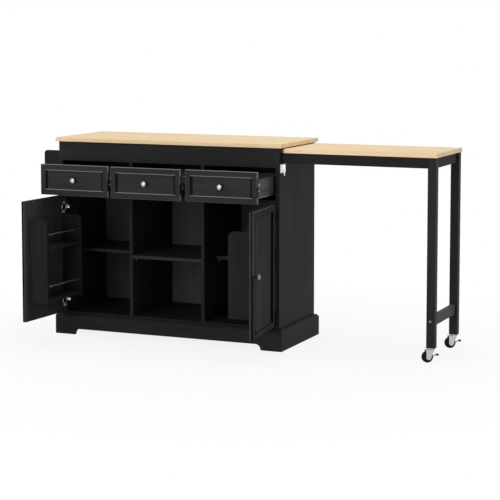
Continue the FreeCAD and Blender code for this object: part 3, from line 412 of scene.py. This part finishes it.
OUTWARDS = {drawer: np.array((0.0, -1.0, 0.0)) for drawer in DRAWERS}
OUTWARDS["left_door"] = faced_front(JOINTS["left_door_hinge"]["range_deg"][0])
OUTWARDS["right_door"] = faced_front(-JOINTS["right_door_hinge"]["range_deg"][0])

OAK = {"main_top": oak("main_top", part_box("main_top")[1].z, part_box("main_top")[0].x - OAK_UNCOVERED * MM),
       "table_top": oak("table_top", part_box("table_top")[1].z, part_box("main_top")[1].x)}
BLACK = {axis: board(axis) for axis in "XYZ"}
# Lit and shaded copies of the black board: each factor paints light or shade into the colour, such as the
# back panel lighter inside the cabinet and the bottom panel and rack ends darker
SHELF = board("X", 1.4)
RACK_END = board("Z", 0.7)
PAINTED_LIGHT_AND_SHADE = {"back_panel": board("Z", 3.1, behind=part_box("back_panel")[1].y), "bottom_panel": board("X", 0.8),
          "table_stretcher": board("Y", 3.1), "table_legs": board("Z", outer=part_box("table_legs")[1].x),
          "frieze_board": board("X", 1.2), "side_shelves": SHELF, "centre_shelf": SHELF,
          "left_door_rack_ends": RACK_END, "right_door_rack_ends": RACK_END}

# The looks of the moulded fronts, with the width of the frame and the length of the fade in millimetres. The
# factor and the panel's light paint light into the board, and the line is a painted highlight on the drawers
# and painted shade on the doors

DRAWER_LOOK = {"axis": "X", "frame_width": 24, "shade": 1.4, "lift": 0.05, "line": PAINTED_HIGHLIGHT_LINE, "fade": 0,
               "gloss": 0.04}
DOOR_LOOK = {"axis": "Z", "frame_width": 26, "shade": 2.1, "lift": 0.20, "line": PAINTED_SHADE_BLACK, "fade": 24,
             "gloss": 0.0}

MOULDED = {}
for drawer in DRAWERS:
    MOULDED[drawer + "_front"] = moulded_board(drawer + "_front", OUTWARDS[drawer], **DRAWER_LOOK)
for door in DOORS:
    MOULDED[door + "_panel"] = moulded_board(door + "_panel", OUTWARDS[door], **DOOR_LOOK)
GREY_BOARD = drawer_board()

# Each metal has a colour, a roughness and the shade of its duller patches

NICKEL = metal("champagne_nickel", (0.47, 0.43, 0.36), 0.20, 0.82)
# A darker copy of the knobs' nickel, painted shade for the knob on the right door
PAINTED_SHADE_NICKEL = metal("dull_champagne_nickel", (0.24, 0.21, 0.18), 0.30, 0.82)
# Near-black metal of the knobs' foot ring and stem, partly their own and partly painted shadow of the head
DARK_RING = metal("aged_ring", (0.012, 0.010, 0.009), 0.45, 0.7)
ZINC = metal("bright_zinc", (0.52, 0.54, 0.56), 0.28, 0.78)
DULL_ZINC = metal("dull_zinc", (0.36, 0.37, 0.38), 0.32, 0.80)
BOLT = metal("dull_bolt", (0.18, 0.18, 0.18), 0.38, 0.80)
LINK = metal("hinge_link_nickel", (0.93, 0.93, 0.92), 0.30, 0.90)
RAIL = metal("satin_steel_rail", (0.62, 0.62, 0.61), 0.34, 0.85)
CUP = metal("hinge_cup_nickel", (0.95, 0.95, 0.94), 0.46, 0.90)
LATCH = metal("latch_nickel", (0.88, 0.88, 0.87), 0.20, 0.88)
RUNNER = runner_steel(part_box("drawer_1_runners")[0].z)
HINGE = hinge_steel()
HUB = moulded("hub_plastic", (0.010, 0.010, 0.011), 0.34)
PAD = moulded("pad_rubber", (0.055, 0.055, 0.056), 0.50)
TYRE = tyre_rubber()

GRAIN_ALONG_X = ("drawer_decks", "table_guides", "plinth_front", "plinth_back", "table_front_apron",
                 "table_back_apron")
GRAIN_ALONG_Y = ("plinth_sides", "table_rails", "table_end_apron", "side_rack_shelf",
                 "left_door_rack_shelves", "right_door_rack_shelves")

# The finish of a CAD node and the width in millimetres of its eased edges, by its name or else by its ending

EXACT = {**{name: (finish, 0.5) for name, finish in OAK.items()},
         **{name: (finish, 0.4) for name, finish in MOULDED.items()},
         **{name: (finish, 0.8) for name, finish in PAINTED_LIGHT_AND_SHADE.items()},
         **{name: (BLACK["X"], 0.8) for name in GRAIN_ALONG_X},
         **{name: (BLACK["Y"], 0.8) for name in GRAIN_ALONG_Y},
         **{name: (ZINC, 0.4) for name in ("shelf_supports", "stretcher_bolts", "caster_plates")},
         "drawer_channels": (RUNNER, 0.0), "hinge_arms": (HINGE, 0.4),
         "latch_plate": (LATCH, 0.4), "latch_pin": (LATCH, 0.4)}
BY_ENDING = {"_knob": (NICKEL, 0.0), "_box": (GREY_BOARD, 0.6), "_runners": (RUNNER, 0.0),
             "_hinges": (CUP, 0.4), "_brake_lever": (DULL_ZINC, 0.4), "_fork": (ZINC, 0.4),
             "_rack_rails": (RAIL, 0.0), "_wheel": (TYRE, 0.0)}
WELD_REACH = 0.01
BEVEL_ANGLE = 35


def finish_of(name):
    """The finish of a CAD node, and how much its edges are eased."""
    if name in EXACT:
        return EXACT[name]
    for ending, finish in BY_ENDING.items():
        if name.endswith(ending):
            return finish
    return BLACK["Z"], 0.8


def ease_edges(shown, width):
    """Rounds the sharp edges of a piece, so that they catch the light."""
    weld = shown.modifiers.new("weld", "WELD")
    weld.merge_threshold = WELD_REACH * MM
    bevel = shown.modifiers.new("eased_edges", "BEVEL")
    bevel.width = width * MM
    bevel.segments = 2
    bevel.limit_method = "ANGLE"
    bevel.angle_limit = math.radians(BEVEL_ANGLE)
    bevel.use_clamp_overlap = True


def dress_nodes():
    """Gives every CAD node its finish and its eased edges."""
    for name, shown in NODES.items():
        finish, width = finish_of(name)
        shown.data.materials.clear()
        shown.data.materials.append(finish)
        if width:
            ease_edges(shown, width)


# Surfaces

# Above this share of upright, an axis takes its side direction from X
NEARLY_UPRIGHT = 0.9

# Steps round screws and pillows, and the rings of a screw's head and of a pillow
ROUND_STEPS = 32
SCREW_RINGS = 9
PILLOW_RINGS = 17

# The most of a straight stretch that a bend takes at one end, and the reach within which a pole is closed
BEND_SHARE = 0.45
CLOSED_REACH = 0.001

# A screw's head: its dome, where the side and the end of its cross slot start and stop, and the slot's depth,
# all as shares, and how far its rim goes under its seat, in millimetres
SCREW_DOME = 0.96
SLOT_SIDE = (0.12, 0.20)
SLOT_END = (0.54, 0.66)
SLOT_DEPTH = 0.6
SCREW_SINK = 0.2


def unit(direction):
    """A direction with a length of one."""
    direction = np.asarray(direction, float)
    return direction / np.linalg.norm(direction)


def directions_round(axis):
    """Two directions square to an axis and to each other, and the axis. They make a right-handed set."""
    axis = unit(axis)
    start = UP if abs(axis[2]) < NEARLY_UPRIGHT else (1.0, 0.0, 0.0)
    side = unit(np.cross(start, axis))
    return side, np.cross(axis, side), axis


def smooth_line(corners, steps=5):
    """A smooth line through all its corners: each stretch is a cubic whose slope at a corner is half the step
    between that corner's neighbours."""
    corners = np.asarray(corners, float)
    ends = (2 * corners[:1] - corners[1:2], 2 * corners[-1:] - corners[-2:-1])
    held = np.vstack((ends[0], corners, ends[1]))
    a, b, c, d = (held[k:len(held) - 3 + k, None, :] for k in range(4))
    t = np.linspace(0, 1, steps, endpoint=False)[None, :, None]
    cubic = 2 * b + (c - a) * t + (2 * a - 5 * b + 4 * c - d) * t ** 2 + (3 * b - a - 3 * c + d) * t ** 3
    return np.vstack((cubic.reshape(-1, corners.shape[1]) / 2, corners[-1:]))


def rounded_line(corners, reach, steps=4):
    """A line of straight stretches. Each inner corner gives way to the parabola
    (1 - t)^2 before + 2 t (1 - t) corner + t^2 after, between points at the reach on both sides of it."""
    corners = np.asarray(corners, float)
    into = corners[:-2] - corners[1:-1]
    out = corners[2:] - corners[1:-1]
    shares = [np.minimum(reach / np.linalg.norm(way, axis=1)[:, None], BEND_SHARE) for way in (into, out)]
    before = corners[1:-1] + into * shares[0]
    after = corners[1:-1] + out * shares[1]
    t = np.linspace(0, 1, steps)[None, :, None]
    bend = (1 - t) ** 2 * before[:, None] + 2 * t * (1 - t) * corners[1:-1, None] + t ** 2 * after[:, None]
    return np.vstack((corners[:1], bend.reshape(-1, corners.shape[1]), corners[-1:]))


def surface(grid):
    """Corners and four-sided faces of a grid of points that closes on itself across its columns."""
    rows, columns = grid.shape[:2]
    here = np.arange(rows * columns).reshape(rows, columns)
    beside = np.roll(here, -1, axis=1)
    faces = np.stack((here[:-1], beside[:-1], beside[1:], here[1:]), axis=-1)
    return grid.reshape(-1, 3), faces.reshape(-1, 4)


def lathe(profile, base, axis, turns):
    """A turned surface: base + along * axis + radius * (cos t * side + sin t * up). The profile gives radius
    and along, in millimetres, row by row."""
    side, up, axis = directions_round(axis)
    t = np.linspace(0, 2 * math.pi, turns, endpoint=False)[:, None]
    ring = np.cos(t) * side + np.sin(t) * up
    radius, reach = (np.asarray(profile, float) * MM).T
    return surface(np.asarray(base) + reach[:, None, None] * axis + radius[:, None, None] * ring)


def fall(value, limits):
    """1 up to the first of two limits, 0 past the second, straight in between."""
    return np.clip((limits[1] - value) / (limits[1] - limits[0]), 0, 1)


def cross_head(base, axis, radius, height):
    """A screw's head over a polar grid: height * sqrt(1 - dome r^2), less a cross slot where r is small and
    the smaller of |x| and |y| is too. Below the rim it closes a little under its seat."""
    side, up, axis = directions_round(axis)
    r = np.linspace(0, 1, SCREW_RINGS)[:, None]
    t = np.linspace(0, 2 * math.pi, ROUND_STEPS, endpoint=False)[None, :]
    x = r * np.cos(t)
    y = r * np.sin(t)
    slot = fall(np.minimum(abs(x), abs(y)), SLOT_SIDE) * fall(r, SLOT_END)
    z = height * (np.sqrt(1 - SCREW_DOME * r ** 2) - SLOT_DEPTH * slot)
    x = np.vstack((x, x[-1:], 0 * x[-1:])) * radius * MM
    y = np.vstack((y, y[-1:], 0 * y[-1:])) * radius * MM
    z = np.vstack((z, -SCREW_SINK + 0 * z[-2:])) * MM
    return surface(np.asarray(base) + x[..., None] * side + y[..., None] * up + z[..., None] * axis)


def pillow(centre, directions, halves, power):
    """A rounded block: along each direction the half size times a signed power of the sphere's cosines and
    sines, so that a small power is nearly a box."""
    def curved(value):
        """A signed power."""
        return np.sign(value) * np.abs(value) ** power

    polar = np.linspace(-math.pi / 2, math.pi / 2, PILLOW_RINGS)[:, None]
    round_way = np.linspace(0, 2 * math.pi, ROUND_STEPS, endpoint=False)[None, :]
    flat = curved(np.cos(polar).clip(0))
    x = halves[0] * flat * curved(np.cos(round_way))
    y = halves[1] * flat * curved(np.sin(round_way))
    z = halves[2] * curved(np.sin(polar)) + 0 * round_way
    a, b, c = (np.asarray(direction) for direction in directions)
    return surface(np.asarray(centre) + (x[..., None] * a + y[..., None] * b + z[..., None] * c) * MM)


def piece(name, surfaces, finish, body, replaced=()):
    """Joins surfaces into one smooth piece with closed poles, which rides on a body."""
    points, faces = zip(*surfaces)
    starts = np.cumsum([0] + [len(own) for own in points[:-1]])
    faces = np.vstack([own + start for own, start in zip(faces, starts)])
    mesh = bpy.data.meshes.new(name)
    mesh.from_pydata(np.vstack(points).tolist(), [], faces.tolist())
    work = bmesh.new()
    work.from_mesh(mesh)
    bmesh.ops.remove_doubles(work, verts=work.verts, dist=CLOSED_REACH * MM)
    bmesh.ops.recalc_face_normals(work, faces=work.faces)
    work.to_mesh(mesh)
    work.free()
    mesh.shade_smooth()
    mesh.materials.append(finish)
    made = bpy.data.objects.new(name, mesh)
    bpy.context.scene.collection.objects.link(made)
    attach(made, body)
    if replaced:
        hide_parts(*replaced)


# Places taken from the frame


def middle_along(points, way):
    """Halfway between the first and the last of some points along a direction."""
    reach = points @ way
    return (reach.min() + reach.max()) / 2


def seat_of(name, axis):
    """Where a turned CAD node starts along an axis: the middle of its first ring."""
    side, up, axis = directions_round(axis)
    points = corners_of(name)
    return axis * (points @ axis).min() + side * middle_along(points, side) + up * middle_along(points, up)


def lower_and_upper(points):
    """The points below and above the middle height of a node that holds one solid low and one high."""
    above = points @ UP > middle_along(points, UP)
    return points[~above], points[above]


# Knobs: radius and distance from the front, in millimetres

KNOB_LINE = ((0.0, 14.6), (4.4, 14.5), (5.8, 15.6), (8.6, 18.6), (11.3, 20.4), (12.0, 22.0), (11.6, 23.7),
             (10.1, 25.5), (7.2, 27.1), (3.7, 27.9), (0.0, 28.0))
RING_LINE = ((0.0, -0.4), (10.2, -0.4), (10.4, 0.8), (9.0, 2.0), (6.4, 2.4), (4.6, 3.4), (4.1, 6.0),
             (4.1, 11.0), (4.8, 14.6), (4.5, 15.4), (0.0, 15.4))


def knobs():
    """Turned knobs: each has a dark foot ring and stem, partly their own dark metal and partly painted shadow
    of the head, and a pale domed head that flares from the stem. The right door's head is darker, painted
    shade.
    """
    for body in DRAWERS + ("right_door",):
        axis = OUTWARDS[body]
        seat = seat_of(body + "_knob", axis)
        head = lathe(smooth_line(KNOB_LINE), seat, axis, turns=48)
        # The right door's knob takes the nickel with painted shade
        polish = PAINTED_SHADE_NICKEL if body == "right_door" else NICKEL
        piece(body + "_knob_head", [head], polish, body, [body + "_knob"])
        stem = lathe(rounded_line(RING_LINE, reach=0.7), seat, axis, turns=48)
        piece(body + "_knob_stem", [stem], DARK_RING, body, [body + "_knob"])


# Casters: radius and distance along the axle or along the swivel's axis, in millimetres

TYRE_LINE = ((19.4, 0.0), (19.4, 7.9), (22.6, 8.8), (24.6, 6.6), (25.0, 0.0), (24.6, -6.6), (22.6, -8.8),
             (19.4, -7.9), (19.4, 0.0))
HUB_LINE = ((3.4, 0.0), (3.4, 9.0), (7.8, 9.0), (9.2, 5.4), (17.2, 5.4), (18.2, 8.0), (19.6, 8.0),
            (19.6, -8.0), (18.2, -8.0), (17.2, -5.4), (9.2, -5.4), (7.8, -9.0), (3.4, -9.0), (3.4, 0.0))
RACE_LINE = ((0.0, -1.5), (12.4, -1.5), (14.4, -0.6), (14.4, 0.6), (12.4, 1.5), (0.0, 1.5))
RIVET_LINE = ((0.0, 1.9), (2.6, 1.7), (4.6, 0.9), (5.3, 0.0), (5.3, -1.4), (0.0, -1.4))

# How far the race lies under the swivel's joint, and the rivets' seats from the middle of the wheel
RACE_DROP = 3.8
FORK_OUTSIDE = 12.5
LEVER_OUTSIDE = 15.6

# The pad round the toe of a brake lever: the toe's length, and the pad's half sizes and step back
TOE_LENGTH = 2.0
PAD_HALVES = (6.8, 8.4, 3.8)
PAD_STEP_BACK = 1.5


def caster(end):
    """The smooth wheel, race, rivets and lever pad of one caster."""
    wheel = JOINTS[end + "_wheel_spin"]
    centre = np.array(wheel["pos_m"])
    axle = unit(wheel["axis"])
    swivel = np.array(JOINTS[end + "_caster_swivel"]["pos_m"])
    tyre = lathe(rounded_line(TYRE_LINE, reach=1.4), centre, axle, turns=64)
    piece(end + "_wheel_tyre", [tyre], TYRE, end + "_wheel", [end + "_caster_wheel"])
    hub = lathe(rounded_line(HUB_LINE, reach=0.8), centre, axle, turns=64)
    piece(end + "_wheel_hub", [hub], HUB, end + "_wheel", [end + "_caster_wheel"])
    race = lathe(rounded_line(RACE_LINE, reach=0.8), swivel - UP * RACE_DROP * MM, UP, turns=40)
    piece(end + "_caster_race", [race], ZINC, "table")
    near = lathe(rounded_line(RIVET_LINE, reach=0.4), centre + axle * LEVER_OUTSIDE * MM, axle, turns=32)
    far = lathe(rounded_line(RIVET_LINE, reach=0.4), centre - axle * FORK_OUTSIDE * MM, -axle, turns=32)
    piece(end + "_axle_rivets", [near, far], ZINC, end + "_caster")
    lever = corners_of(end + "_caster_brake_lever")
    forward = np.cross(axle, UP)
    toe = lever[lever @ forward > (lever @ forward).max() - TOE_LENGTH * MM]
    ways = (forward, axle, UP)
    middle = sum(way * middle_along(toe, way) for way in ways)
    pad = pillow(middle - forward * PAD_STEP_BACK * MM, ways, PAD_HALVES, power=0.5)
    piece(end + "_lever_pad", [pad], PAD, end + "_brake")


# Small fittings: radius and distance along the axis, in millimetres

SOCKET_LINE = ((0.0, 1.0), (2.2, 1.0), (2.3, 2.4), (2.9, 2.8), (4.7, 2.6), (5.6, 1.7), (5.6, -0.2),
               (0.0, -0.2))
PULL_LINE = ((0.0, 0.0), (2.6, 0.5), (4.3, 2.0), (4.75, 3.6), (4.2, 5.4), (3.2, 6.6), (3.0, 7.6))
CUP_LINE = ((0.0, -8.6), (16.4, -8.6), (17.2, -7.8), (17.2, -0.6), (16.0, -0.6), (15.2, -6.6), (13.8, -7.4),
            (0.0, -7.4))
RIM_LINE = ((16.9, -1.4), (17.6, -1.4), (17.9, -0.9), (17.4, 0.0), (16.4, 0.1), (15.8, -0.5), (15.6, -2.4),
            (16.2, -2.4), (16.9, -1.4))

# The heads of the stretcher's bolts, and the latch: its pin, and the screws in its plate, which lie in pairs
# below the plate's top, each this far aside and up or down from their middle
BOLT_HEAD_HEIGHT = 2.5
PIN_RADIUS = 3.0
PIN_CHAMFER = 0.8
LATCH_PLATE_THICKNESS = 2.0
LATCH_SCREWS_BELOW_TOP = 19.0
LATCH_SCREW_ASIDE = 21.0
LATCH_SCREW_UP = 11.0

# The drawers' cams, at these shares of the height of a drawer's side
CAM_RADIUS = 7.0
CAM_BEHIND_FRONT = 32.0
CAM_SHARES = (0.34, 0.72)

# The hinges' screws: how far they stand off the wall, lie before the back end of the arms, and lie up or down
# from a hinge's middle
HINGE_PLATE_THICKNESS = 3.0
HINGE_SCREW_BEFORE_BACK = 29.0
HINGE_SCREW_UP = 16.0

# The ears of a hinge's cup and their screws, up or down from the cup's middle
EAR_UP = 21.5
EAR_HALVES = (11.0, 7.5, 0.75)
EAR_SCREW_UP = 23.5

# The hinges' links: half sizes, slant as a cosine and a sine, and where their middles lie from the wall, from
# the front of the arms, from the bottom of the lower hinge and from the top of the upper one
LINK_HALVES = (9.5, 1.5, 5.0)
LINK_SLANT = (0.8, 0.6)
LINK_FROM_WALL = 8.5
LINK_BEHIND_FRONT = 28.6
LINK_ABOVE_BOTTOM = 18.0
LINK_BELOW_TOP = 30.0


def stretcher_bolts():
    """Domed bolt heads with a round socket, one on the outer face of each leg."""
    low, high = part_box("stretcher_bolts")
    centre = (low + high) / 2
    profile = rounded_line(SOCKET_LINE, reach=0.5)
    heads = []
    for y, way in ((low.y + BOLT_HEAD_HEIGHT * MM, -1.0), (high.y - BOLT_HEAD_HEIGHT * MM, 1.0)):
        heads.append(lathe(profile, (centre.x, y, centre.z), (0.0, way, 0.0), turns=36))
    piece("stretcher_bolt_heads", heads, BOLT, "table", ["stretcher_bolts"])


def latch_pull():
    """The latch's round pull and its pin."""
    low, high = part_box("latch_pin")
    base = ((low.x + high.x) / 2, (low.y + high.y) / 2, low.z)
    length = (high.z - low.z) / MM
    pin = [(PIN_RADIUS, length - PIN_CHAMFER), (PIN_RADIUS - PIN_CHAMFER, length), (0.0, length)]
    pull = lathe(smooth_line(PULL_LINE).tolist() + pin, base, UP, turns=36)
    piece("latch_pull", [pull], LATCH, "latch", ["latch_pin"])


def latch_screws():
    """Four screws in the latch's plate."""
    low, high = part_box("latch_plate")
    face = low.x + LATCH_PLATE_THICKNESS * MM
    heads = []
    for aside in (-LATCH_SCREW_ASIDE, LATCH_SCREW_ASIDE):
        for rise in (-LATCH_SCREW_UP, LATCH_SCREW_UP):
            base = (face, (low.y + high.y) / 2 + aside * MM, high.z + (rise - LATCH_SCREWS_BELOW_TOP) * MM)
            heads.append(cross_head(base, (1, 0, 0), radius=2.8, height=1.1))
    piece("latch_screws", heads, LATCH, "cabinet")


def drawer_cams(body):
    """Bright round cams in a drawer's sides, two behind each end of the front."""
    low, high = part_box(body + "_box")
    cams = []
    for x, way in ((low.x, -1.0), (high.x, 1.0)):
        for share in CAM_SHARES:
            base = (x, low.y + CAM_BEHIND_FRONT * MM, low.z + share * (high.z - low.z))
            cams.append(cross_head(base, (way, 0, 0), CAM_RADIUS, height=1.2))
    piece(body + "_cams", cams, ZINC, body)


def hinge_screws():
    """Screws in the hinges' plates on the side panels."""
    points = corners_of("hinge_arms")
    y = points[:, 1].max() - HINGE_SCREW_BEFORE_BACK * MM
    walls = ((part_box("left_side_panel")[1].x, 1.0), (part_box("right_side_panel")[0].x, -1.0))
    heads = []
    for wall, way in walls:
        for own in lower_and_upper(points):
            for rise in (-HINGE_SCREW_UP, HINGE_SCREW_UP):
                base = (wall + way * HINGE_PLATE_THICKNESS * MM, y, middle_along(own, UP) + rise * MM)
                heads.append(cross_head(base, (way, 0, 0), radius=3.0, height=1.0))
    piece("hinge_plate_screws", heads, BOLT, "cabinet")


def hinge_cups(body):
    """The hinges' cups in a door: a dark bowl in a nickel rim, with an ear and a screw above and below it."""
    points = corners_of(body + "_hinges")
    inward = -OUTWARDS[body]
    across = np.cross(UP, inward)
    bowls = []
    rims = []
    for own in lower_and_upper(points):
        centre = inward * (points @ inward).max() + across * middle_along(points, across)
        centre = centre + UP * middle_along(own, UP)
        bowls.append(lathe(rounded_line(CUP_LINE, reach=0.6), centre, inward, turns=48))
        rims.append(lathe(rounded_line(RIM_LINE, reach=0.3), centre, inward, turns=48))
        for way in (-UP, UP):
            ear = centre + way * EAR_UP * MM - inward * EAR_HALVES[2] * MM
            rims.append(pillow(ear, (across, UP, inward), EAR_HALVES, power=0.3))
            rims.append(cross_head(centre + way * EAR_SCREW_UP * MM, inward, radius=3.0, height=1.0))
    piece(body + "_hinge_bowls", bowls, HUB, body, [body + "_hinges"])
    piece(body + "_hinge_rims", rims, CUP, body, [body + "_hinges"])


def hinge_links():
    """The slanted, rounded front links of the hinge arms."""
    low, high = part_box("hinge_arms")
    cosine, sine = LINK_SLANT
    links = []
    for x, way in ((low.x, 1.0), (high.x, -1.0)):
        ways = ((way * cosine, sine, 0.0), (way * sine, -cosine, 0.0), UP)
        for z in (low.z + LINK_ABOVE_BOTTOM * MM, high.z - LINK_BELOW_TOP * MM):
            middle = (x + way * LINK_FROM_WALL * MM, low.y + LINK_BEHIND_FRONT * MM, z)
            links.append(pillow(middle, ways, LINK_HALVES, power=0.3))
    piece("hinge_links", links, LINK, "cabinet")


# Stage, lamps and camera

# White, and the strength of the even light, where 1 is white
WHITE = (1.0, 1.0, 1.0)
AMBIENT = 0.42

# The floor: its colour, its reach and drop in metres, how much of its shadow near the island is whitened, and
# the distances from the island between which it turns fully white
FLOOR_COLOUR = (0.90, 0.90, 0.90)
FLOOR_REACH = 30.0
FLOOR_DROP = 0.0005
NEAR_WHITE = 0.86
WHITE_FROM = 1.0
WHITE_AT = 1.8

# Name, place, point faced, size and power of each lamp, in metres and watts
LAMPS = (("key", (-0.7, -4.6, 1.5), (0.0, -0.1, 0.5), 2.4, 75.0),
         ("fill", (4.2, -1.6, 3.0), (0.2, 0.0, 0.5), 3.0, 22.0),
         ("top", (0.0, 0.2, 4.2), (0.0, 0.0, 0.5), 3.5, 85.0))

# The photo's camera: its lens and shift in the photo's pixels, its place from the worktop's middle and its
# height in metres, and its tilt down and turn in degrees
PHOTO_PIXELS = 500
LENS_PIXELS = 1637.80
SHIFT_PIXELS = -75.0
SENSOR_WIDTH = 36.0
CAMERA_ASIDE = 3.26182
CAMERA_FORWARD = 6.79162
CAMERA_HEIGHT = 1.44717
CAMERA_TILT = 5.3578
CAMERA_TURN = 23.4265
CAMERA_REACH = 100.0


def floor_finish():
    """A pale floor that keeps a faint shadow and turns to plain white away from the island."""
    f = Finish("pale_floor", Base_Color=FLOOR_COLOUR, Roughness=0.9, Specular_IOR_Level=0.1)
    distance = f.node("ShaderNodeVectorMath", {"operation": "LENGTH"}, {0: f.here()}, 1)
    whiteness = NEAR_WHITE + f.step(distance, WHITE_FROM, WHITE_AT) * (1.0 - NEAR_WHITE)
    white = f.node("ShaderNodeEmission", {}, {"Color": WHITE})
    f.show(f.node("ShaderNodeMixShader", {}, {0: f.seen() * whiteness, 1: f.surface, 2: white}))
    return f.material


def build_stage():
    """A floor far wider than the picture."""
    corners = [(x * FLOOR_REACH, y * FLOOR_REACH, 0.0) for x, y in ((-1, -1), (1, -1), (1, 1), (-1, 1))]
    mesh = bpy.data.meshes.new("floor")
    mesh.from_pydata(corners, [], [(0, 1, 2, 3)])
    mesh.materials.append(floor_finish())
    floor = bpy.data.objects.new("floor", mesh)
    floor.location.z = -FLOOR_DROP
    bpy.context.scene.collection.objects.link(floor)


def build_world():
    """White to the camera, in reflections and through glass, and a soft even light for everything else."""
    world = bpy.data.worlds.new("studio")
    bpy.context.scene.world = world
    world.use_nodes = True
    sky = Nodes(world.node_tree, "ShaderNodeOutputWorld")
    strength = AMBIENT + sky.seen() * (1.0 - AMBIENT)
    sky.show(sky.node("ShaderNodeBackground", {}, {"Color": WHITE, "Strength": strength}))


def soft_lamp(name, place, target, size, power):
    """A square area lamp that faces a point."""
    lamp = bpy.data.lights.new(name, "AREA")
    lamp.shape = "SQUARE"
    lamp.size = size
    lamp.energy = power
    holder = bpy.data.objects.new(name, lamp)
    holder.location = place
    holder.rotation_euler = (Vector(target) - Vector(place)).to_track_quat("-Z", "Y").to_euler()
    bpy.context.scene.collection.objects.link(holder)


def build_camera():
    """The photograph's camera: a long lens, almost level, from the island's front right."""
    low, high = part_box("main_top")
    middle = (low + high) / 2
    camera = bpy.data.cameras.new("camera")
    camera.sensor_width = SENSOR_WIDTH
    camera.lens = LENS_PIXELS / PHOTO_PIXELS * SENSOR_WIDTH
    camera.shift_y = SHIFT_PIXELS / PHOTO_PIXELS
    camera.clip_end = CAMERA_REACH
    holder = bpy.data.objects.new("camera", camera)
    holder.location = (middle.x + CAMERA_ASIDE, middle.y - CAMERA_FORWARD, CAMERA_HEIGHT)
    holder.rotation_euler = (math.radians(90 - CAMERA_TILT), 0.0, math.radians(CAMERA_TURN))
    bpy.context.scene.collection.objects.link(holder)
    bpy.context.scene.camera = holder


dress_nodes()
knobs()
for which in ("front", "back"):
    caster(which)
stretcher_bolts()
latch_pull()
latch_screws()
hinge_screws()
hinge_links()
for door in ("left_door", "right_door"):
    hinge_cups(door)
for drawer in DRAWERS:
    drawer_cams(drawer)
build_stage()
build_world()
for lamp in LAMPS:
    soft_lamp(*lamp)
build_camera()
bpy.context.scene.view_settings.view_transform = "Standard"
